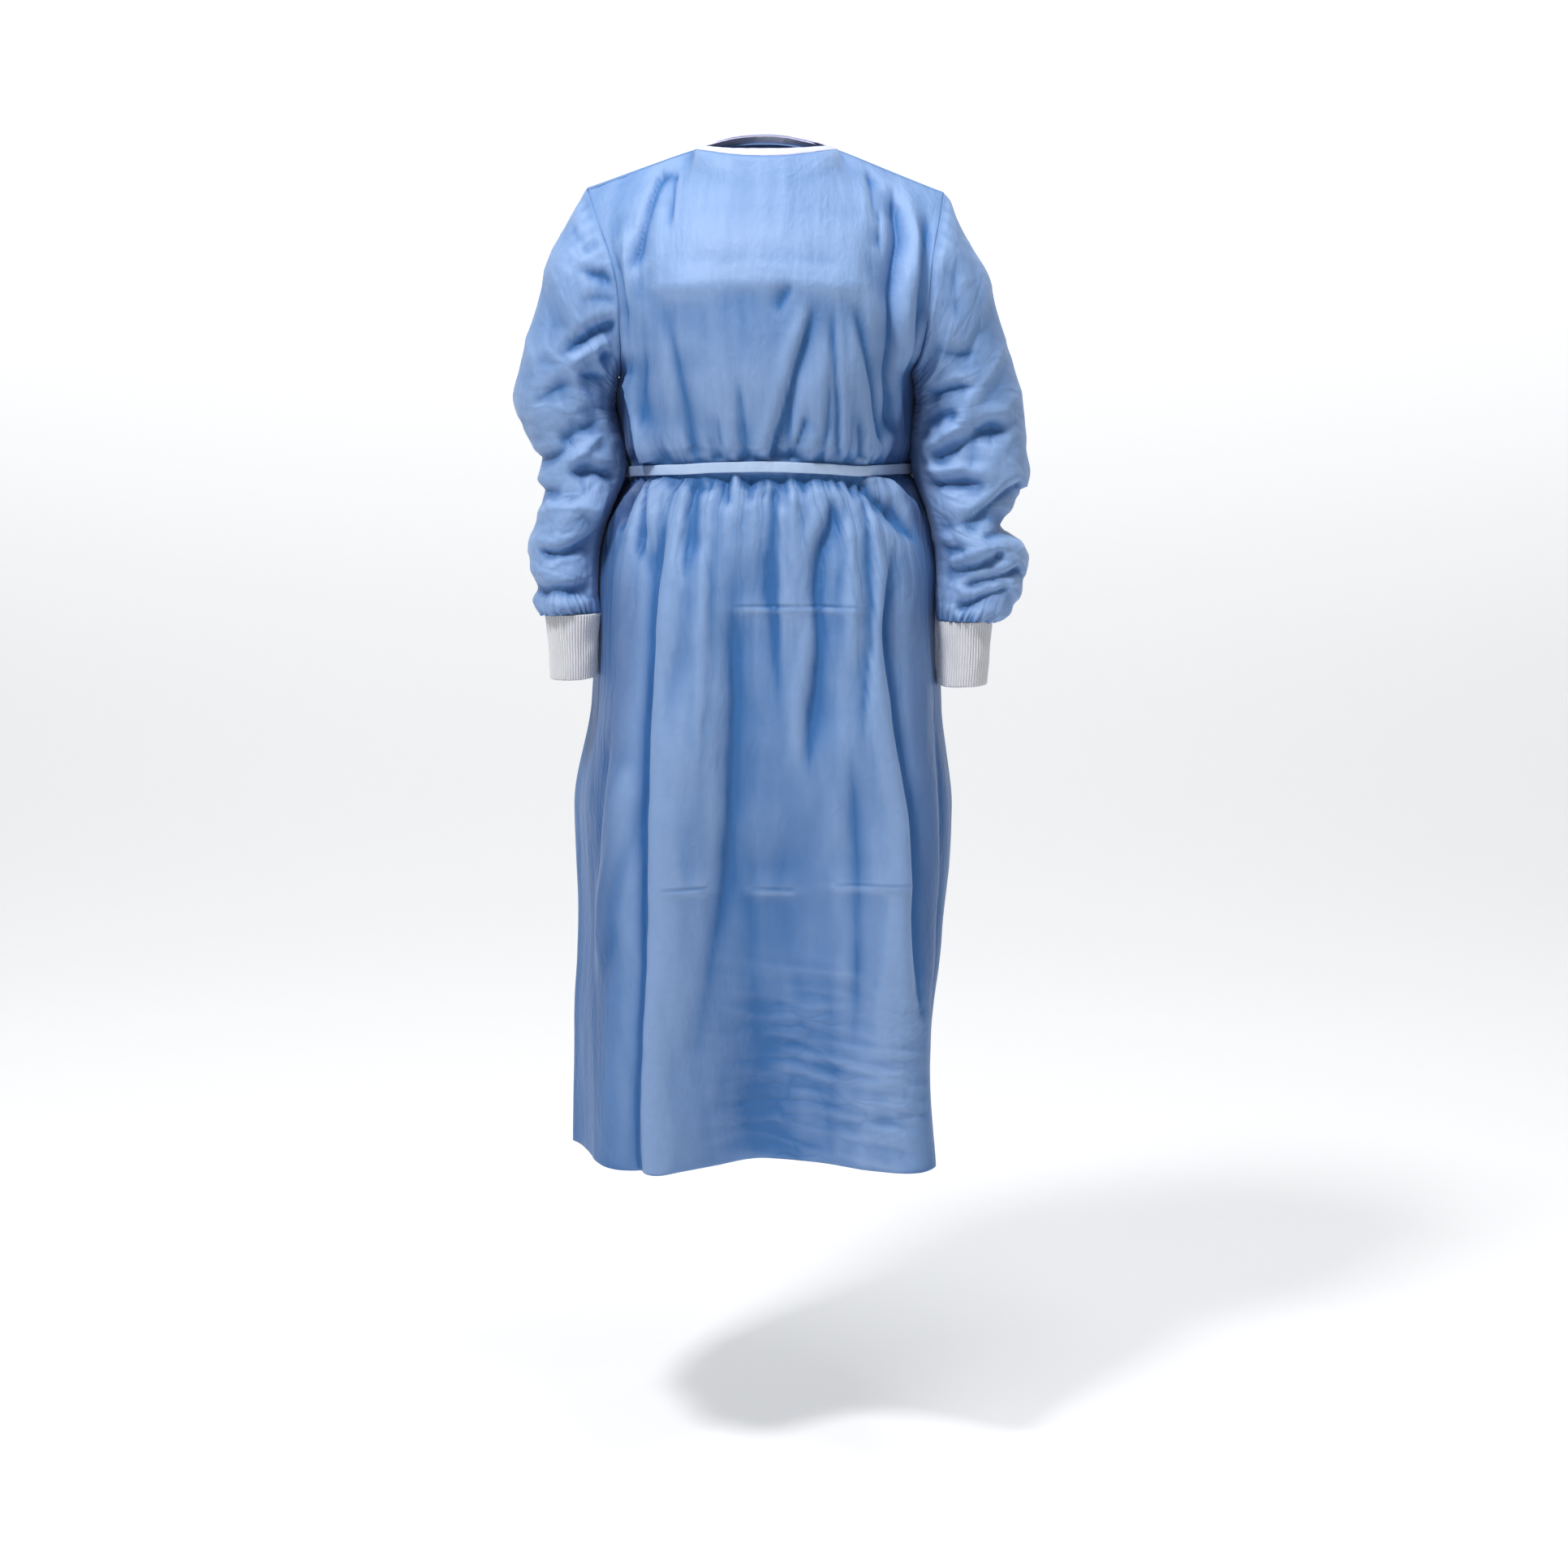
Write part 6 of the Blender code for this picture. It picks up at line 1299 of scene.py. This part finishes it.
def fine_folds(nodes, links, flat):
    """Height in metres and painted shading of the folds too fine for the mesh: drawn from the belt, pressed, and
    crushed. Their creases are painted darker and the pressed lines' ridges lighter.
    """
    def place(across, down, shift):
        both = nodes.new("ShaderNodeCombineXYZ")
        links.new(maths(nodes, links, "MULTIPLY", marked(nodes, "grain"), across), both.inputs[0])
        links.new(maths(nodes, links, "MULTIPLY_ADD", marked(nodes, "below"), down, shift), both.inputs[1])
        bend = nodes.new("ShaderNodeVectorMath")
        bend.operation = "MULTIPLY_ADD"
        warp = nodes.new("ShaderNodeTexNoise")
        warp.inputs["Scale"].default_value = 22.0
        warp.inputs["Detail"].default_value = 1.0
        links.new(flat, warp.inputs["Vector"])
        links.new(warp.outputs["Color"], bend.inputs[0])
        bend.inputs[1].default_value = (0.9, 0.5, 0.0)
        links.new(both.outputs[0], bend.inputs[2])
        return bend.outputs[0]

    drawn = marked(nodes, "drawn")
    wide, thin = cells(nodes, links, place(62.0, 5.0, 3.0)), cells(nodes, links, place(125.0, 9.0, 8.0))
    pulls = maths(nodes, links, "ADD", maths(nodes, links, "MULTIPLY", maths(nodes, links, "MINIMUM", wide, 0.30), 0.0056), maths(nodes, links, "MULTIPLY", maths(nodes, links, "MINIMUM", thin, 0.30), 0.0011))
    height = maths(nodes, links, "MULTIPLY", pulls, drawn)
    line = maths(nodes, links, "SUBTRACT", 1.0, maths(nodes, links, "MINIMUM", maths(nodes, links, "MULTIPLY", wide, 8.0), 1.0))
    tone = maths(nodes, links, "MULTIPLY", maths(nodes, links, "MULTIPLY", line, drawn), -0.30)

    press, share = marked(nodes, "press"), marked(nodes, "press_share")
    groove, ridge = bell(nodes, links, press, 0.0006, 0.0022), bell(nodes, links, press, -0.0048, 0.0030)
    mark = maths(nodes, links, "SUBTRACT", maths(nodes, links, "MULTIPLY", ridge, 0.0006), maths(nodes, links, "MULTIPLY", groove, 0.0010))
    height = maths(nodes, links, "MULTIPLY_ADD", mark, share, height)
    mark = maths(nodes, links, "SUBTRACT", maths(nodes, links, "MULTIPLY", ridge, 0.32), maths(nodes, links, "MULTIPLY", groove, 0.55))
    tone = maths(nodes, links, "MULTIPLY_ADD", mark, share, tone)

    bend = nodes.new("ShaderNodeVectorMath")
    bend.operation = "MULTIPLY_ADD"
    warp = nodes.new("ShaderNodeTexNoise")
    warp.inputs["Scale"].default_value = 16.0
    warp.inputs["Detail"].default_value = 2.0
    links.new(flat, warp.inputs["Vector"])
    links.new(warp.outputs["Color"], bend.inputs[0])
    bend.inputs[1].default_value = (1.4, 2.6, 0.0)
    links.new(mapped(nodes, links, (21.0, 66.0, 1.0), 0.10), bend.inputs[2])
    ripple = cells(nodes, links, bend.outputs[0])
    crush = marked(nodes, "crush")
    height = maths(nodes, links, "MULTIPLY_ADD", maths(nodes, links, "MULTIPLY", maths(nodes, links, "MINIMUM", ripple, 0.32), 0.0040), crush, height)
    line = maths(nodes, links, "SUBTRACT", 1.0, maths(nodes, links, "MINIMUM", maths(nodes, links, "MULTIPLY", ripple, 7.0), 1.0))
    tone = maths(nodes, links, "MULTIPLY_ADD", maths(nodes, links, "MULTIPLY", line, -0.16), crush, tone)
    return height, tone


def nonwoven(name, colour, light, painted_shade, sheen=0.20, deep=(0.006, 0.030, 0.150)):
    """Spunbonded cloth: fine fibres laid every way, pressed together at a grid of small dots."""
    material = bpy.data.materials.new(name)
    tree, nodes, links, shader = nodes_of(material)
    flat = mapped(nodes, links, (1.0, 1.0, 1.0))
    tone = nodes.new("ShaderNodeAttribute")
    tone.attribute_name = "tone"
    painted_shading_value = tone.outputs["Fac"]
    cloudy = noise_node(nodes, links, flat, 14.0, 2.0)
    blotch = noise_node(nodes, links, flat, 120.0, 4.0, 0.6)
    fibre = noise_node(nodes, links, mapped(nodes, links, (900.0, 2600.0, 1.0), 0.35), 1.0, 3.0, 0.7)
    dots = nodes.new("ShaderNodeTexVoronoi")
    dots.feature = "F1"
    dots.inputs["Scale"].default_value = 1.0
    dots.inputs["Randomness"].default_value = 0.0
    links.new(mapped(nodes, links, (760.0, 760.0, 1.0), math.radians(45)), dots.inputs["Vector"])
    dot = maths(nodes, links, "SMOOTH_MIN", maths(nodes, links, "MULTIPLY", dots.outputs["Distance"], 2.6), 1.0, 0.3)
    fold_height, fine_fold_shading = fine_folds(nodes, links, flat)
    # Painted shading: the dark colour goes in the bottoms of folds and the light one on their tops.
    raised = maths(nodes, links, "ADD", maths(nodes, links, "MULTIPLY_ADD", painted_shading_value, 0.5, 0.5), fine_fold_shading)
    base = mix_colour(nodes, links, raised, painted_shade, light)
    base = mix_colour(nodes, links, 0.42, base, colour)
    shade = maths(nodes, links, "MULTIPLY_ADD", cloudy, 0.16, 0.92)
    shade = maths(nodes, links, "MULTIPLY", shade, maths(nodes, links, "MULTIPLY_ADD", blotch, 0.14, 0.93))
    shade = maths(nodes, links, "MULTIPLY", shade, maths(nodes, links, "MULTIPLY_ADD", fibre, 0.12, 0.94))
    shade = maths(nodes, links, "MULTIPLY", shade, maths(nodes, links, "MULTIPLY_ADD", dot, 0.10, 0.90))
    base = mix_colour(nodes, links, 1.0, base, shade, "MULTIPLY")
    # Painted shade where the arms shade the body: the deep blue is mixed in.
    base = mix_colour(nodes, links, marked(nodes, "dim"), base, deep)
    links.new(base, shader.inputs["Base Color"])
    links.new(maths(nodes, links, "MULTIPLY_ADD", blotch, 0.20, 0.46), shader.inputs["Roughness"])
    shader.inputs["Specular IOR Level"].default_value = 0.40
    shader.inputs["Sheen Weight"].default_value = sheen
    shader.inputs["Sheen Roughness"].default_value = 0.45
    shader.inputs["Sheen Tint"].default_value = (0.58, 0.74, 1.0, 1.0)
    height = maths(nodes, links, "ADD", maths(nodes, links, "MULTIPLY", dot, 0.6), maths(nodes, links, "MULTIPLY", fibre, 0.5))
    fine = nodes.new("ShaderNodeBump")
    fine.inputs["Strength"].default_value = 0.5
    fine.inputs["Distance"].default_value = 0.00010
    links.new(height, fine.inputs["Height"])
    soft = nodes.new("ShaderNodeBump")
    soft.inputs["Strength"].default_value = 0.6
    soft.inputs["Distance"].default_value = 0.0009
    crinkle = noise_node(nodes, links, mapped(nodes, links, (150.0, 42.0, 1.0)), 1.0, 4.0, 0.6)
    bent = nodes.new("ShaderNodeVectorMath")
    bent.operation = "ADD"
    links.new(mapped(nodes, links, (88.0, 52.0, 1.0)), bent.inputs[0])
    warp = nodes.new("ShaderNodeTexNoise")
    warp.inputs["Scale"].default_value = 60.0
    links.new(flat, warp.inputs["Vector"])
    links.new(warp.outputs["Color"], bent.inputs[1])
    cracks = nodes.new("ShaderNodeTexVoronoi")
    cracks.feature = "DISTANCE_TO_EDGE"
    cracks.inputs["Scale"].default_value = 1.0
    links.new(bent.outputs[0], cracks.inputs["Vector"])
    edges = maths(nodes, links, "MULTIPLY", maths(nodes, links, "MINIMUM", cracks.outputs["Distance"], 0.35), -1.3)
    links.new(maths(nodes, links, "ADD", edges, maths(nodes, links, "MULTIPLY", crinkle, 1.3)), soft.inputs["Height"])
    folds = nodes.new("ShaderNodeBump")
    folds.inputs["Strength"].default_value = 1.0
    folds.inputs["Distance"].default_value = 1.0
    links.new(fold_height, folds.inputs["Height"])
    links.new(folds.outputs[0], soft.inputs["Normal"])
    links.new(soft.outputs[0], fine.inputs["Normal"])
    links.new(fine.outputs[0], shader.inputs["Normal"])
    return material


def knit_material():
    """Cotton rib: small stitches in columns, with a soft fuzz."""
    material = bpy.data.materials.new("cuff_knit_look")
    tree, nodes, links, shader = nodes_of(material)
    tone = nodes.new("ShaderNodeAttribute")
    tone.attribute_name = "tone"
    raised = maths(nodes, links, "MULTIPLY_ADD", tone.outputs["Fac"], 0.5, 0.5)
    # Painted shading: the ribs' hollows are painted darker and their tops lighter.
    base = mix_colour(nodes, links, raised, (0.62, 0.62, 0.655), (0.84, 0.84, 0.87))
    wave = nodes.new("ShaderNodeTexWave")
    wave.bands_direction = "Y"
    wave.inputs["Scale"].default_value = 1.0
    wave.inputs["Distortion"].default_value = 1.2
    links.new(mapped(nodes, links, (260.0, 185.0, 1.0)), wave.inputs["Vector"])
    speck = noise_node(nodes, links, mapped(nodes, links, (1.0, 1.0, 1.0)), 900.0, 2.0)
    shade = maths(nodes, links, "MULTIPLY", maths(nodes, links, "MULTIPLY_ADD", wave.outputs["Fac"], 0.16, 0.88), maths(nodes, links, "MULTIPLY_ADD", speck, 0.2, 0.9))
    links.new(mix_colour(nodes, links, 1.0, base, shade, "MULTIPLY"), shader.inputs["Base Color"])
    shader.inputs["Roughness"].default_value = 0.92
    shader.inputs["Sheen Weight"].default_value = 0.4
    shader.inputs["Sheen Roughness"].default_value = 0.6
    shader.inputs["Specular IOR Level"].default_value = 0.2
    bump = nodes.new("ShaderNodeBump")
    bump.inputs["Strength"].default_value = 0.7
    bump.inputs["Distance"].default_value = 0.00025
    links.new(maths(nodes, links, "ADD", wave.outputs["Fac"], maths(nodes, links, "MULTIPLY", speck, 0.5)), bump.inputs["Height"])
    links.new(bump.outputs[0], shader.inputs["Normal"])
    return material


def tape(name, colour, sheen=0.3):
    # The lit and the shaded copy of the colour, for painted light on fold tops and painted shade in fold bottoms.
    return nonwoven(name, colour, tuple(min(1.0, c * 1.12) for c in colour), tuple(c * 0.75 for c in colour), sheen)


GOWN = (0.066, 0.230, 0.525)
# After the cloth's colour come the painted light for fold tops and the painted shade for fold bottoms.
gown_look = nonwoven("gown_cloth_look", GOWN, (0.345, 0.455, 0.700), (0.013, 0.088, 0.300))
belt_look = tape("belt_cloth_look", (0.500, 0.650, 0.900))
binding_look = tape("binding_tape_look", (0.660, 0.670, 0.870))
knit_look = knit_material()

finishes = (
    (front_obj, "front", "gown_cloth", gown_look),
    (left_obj, "back_left", "gown_cloth", gown_look),
    (right_obj, "back_right", "gown_cloth", gown_look),
    (sleeve_right_obj, "sleeve_right", "gown_cloth", gown_look),
    (sleeve_left_obj, "sleeve_left", "gown_cloth", gown_look),
    (cuff_objs["right"], "cuff_right", "cuff_knit", knit_look),
    (cuff_objs["left"], "cuff_left", "cuff_knit", knit_look),
    (binding_obj, "neck_binding", "binding_tape", binding_look),
    (belt_obj, "belt", "belt_cloth", belt_look),
    (knot_obj, "belt_knot", "belt_cloth", belt_look),
    (tail_objs["left"], "belt_tail_left", "belt_cloth", belt_look),
    (tail_objs["right"], "belt_tail_right", "belt_cloth", belt_look),
)
for obj, node, slot, look in finishes:
    obj.data.materials.clear()
    obj.data.materials.append(look)
    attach(obj, "root")
    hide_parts(node)

# ---------------------------------------------------------------- floor, light and camera
profile = [(-7.0, -1.44), (-3.0, -1.44), (0.0, -1.44), (2.0, -1.44)]
for step in range(1, 25):
    bend = math.pi / 2 * step / 24
    profile.append((2.0 + 3.0 * math.sin(bend), -1.44 + 3.0 * (1 - math.cos(bend))))
profile.append((5.0, 8.0))
sweep = np.array([[(x, y, z) for x in (-9.0, -3.0, 3.0, 9.0)] for y, z in profile])
floor_mesh = bpy.data.meshes.new("floor")
floor_mesh.from_pydata([tuple(v) for v in sweep.reshape(-1, 3)], [], [(r * 4 + c, r * 4 + c + 1, r * 4 + c + 5, r * 4 + c + 4) for r in range(len(profile) - 1) for c in range(3)])
floor_mesh.shade_smooth()
floor = bpy.data.objects.new("floor", floor_mesh)
bpy.context.scene.collection.objects.link(floor)
# The floor and backdrop glow of themselves, least on the floor and most up the wall.
backdrop_glow = bpy.data.materials.new("floor_glow")
_, _, _, shader = nodes_of(backdrop_glow)
shader.inputs["Base Color"].default_value = (0.80, 0.80, 0.805, 1.0)
shader.inputs["Roughness"].default_value = 0.9
shader.inputs["Emission Color"].default_value = (0.97, 0.985, 1.0, 1.0)
place = backdrop_glow.node_tree.nodes.new("ShaderNodeNewGeometry")
apart = backdrop_glow.node_tree.nodes.new("ShaderNodeSeparateXYZ")
backdrop_glow.node_tree.links.new(place.outputs["Position"], apart.inputs[0])
ramp = backdrop_glow.node_tree.nodes.new("ShaderNodeMapRange")
ramp.interpolation_type = "SMOOTHSTEP"
for key, value in (("From Min", -1.44), ("From Max", 0.3), ("To Min", 0.36), ("To Max", 0.70)):
    ramp.inputs[key].default_value = value
backdrop_glow.node_tree.links.new(apart.outputs["Z"], ramp.inputs["Value"])
backdrop_glow.node_tree.links.new(ramp.outputs[0], shader.inputs["Emission Strength"])
floor.data.materials.append(backdrop_glow)


def area_light(name, place, target, size, power, colour=(1, 1, 1)):
    data = bpy.data.lights.new(name, "AREA")
    data.shape = "RECTANGLE"
    data.size, data.size_y = size
    data.energy = power
    data.color = colour
    obj = bpy.data.objects.new(name, data)
    bpy.context.scene.collection.objects.link(obj)
    obj.location = place
    from_to = np.array(target, float) - np.array(place, float)
    yaw = math.atan2(from_to[1], from_to[0]) - math.pi / 2
    pitch = math.atan2(from_to[2], math.hypot(from_to[0], from_to[1]))
    obj.rotation_euler = (math.pi / 2 + pitch, 0, yaw)
    return obj


area_light("key", (-1.15, -1.5, 2.2), (0, 0, -0.40), (0.5, 0.5), 82)
area_light("top", (0.35, -0.6, 2.0), (0, 0, -0.2), (0.9, 0.7), 30)
area_light("fill", (1.7, -2.4, 0.3), (0, 0, -0.6), (1.2, 1.6), 4)

world = bpy.data.worlds.new("studio")
bpy.context.scene.world = world
world.use_nodes = True
world.node_tree.nodes["Background"].inputs["Color"].default_value = (0.93, 0.95, 1.0, 1.0)
world.node_tree.nodes["Background"].inputs["Strength"].default_value = 0.16
seen = world.node_tree.nodes.new("ShaderNodeBackground")
seen.inputs["Color"].default_value = (0.90, 0.915, 0.94, 1.0)
seen.inputs["Strength"].default_value = 0.92
pick = world.node_tree.nodes.new("ShaderNodeMixShader")
rays = world.node_tree.nodes.new("ShaderNodeLightPath")
world.node_tree.links.new(rays.outputs["Is Camera Ray"], pick.inputs[0])
world.node_tree.links.new(world.node_tree.nodes["Background"].outputs[0], pick.inputs[1])
world.node_tree.links.new(seen.outputs[0], pick.inputs[2])
world.node_tree.links.new(pick.outputs[0], world.node_tree.nodes["World Output"].inputs["Surface"])

camera_data = bpy.data.cameras.new("camera")
camera_data.lens = 67.14
camera_data.sensor_width = 36.0
camera_data.clip_end = 60.0
camera = bpy.data.objects.new("camera", camera_data)
bpy.context.scene.collection.objects.link(camera)
camera.location = (0.018, -3.2, -0.181)
camera.rotation_euler = (math.radians(90 - 9.05), 0, 0)
bpy.context.scene.camera = camera
bpy.context.scene.view_settings.view_transform = "Standard"

for obj, node, slot, look in finishes:
    low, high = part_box(node)
    graph = bpy.context.evaluated_depsgraph_get()
    shape = obj.evaluated_get(graph)
    spots = np.array([shape.matrix_world @ v.co for v in shape.data.vertices])
    area = sum(p.area for p in shape.data.polygons)
    print(node, "tris", sum(len(p.vertices) - 2 for p in shape.data.polygons), "area", round(area / 2, 4), "low", np.round((spots.min(0) - np.array(low)) * 1000, 1), "high", np.round((spots.max(0) - np.array(high)) * 1000, 1))
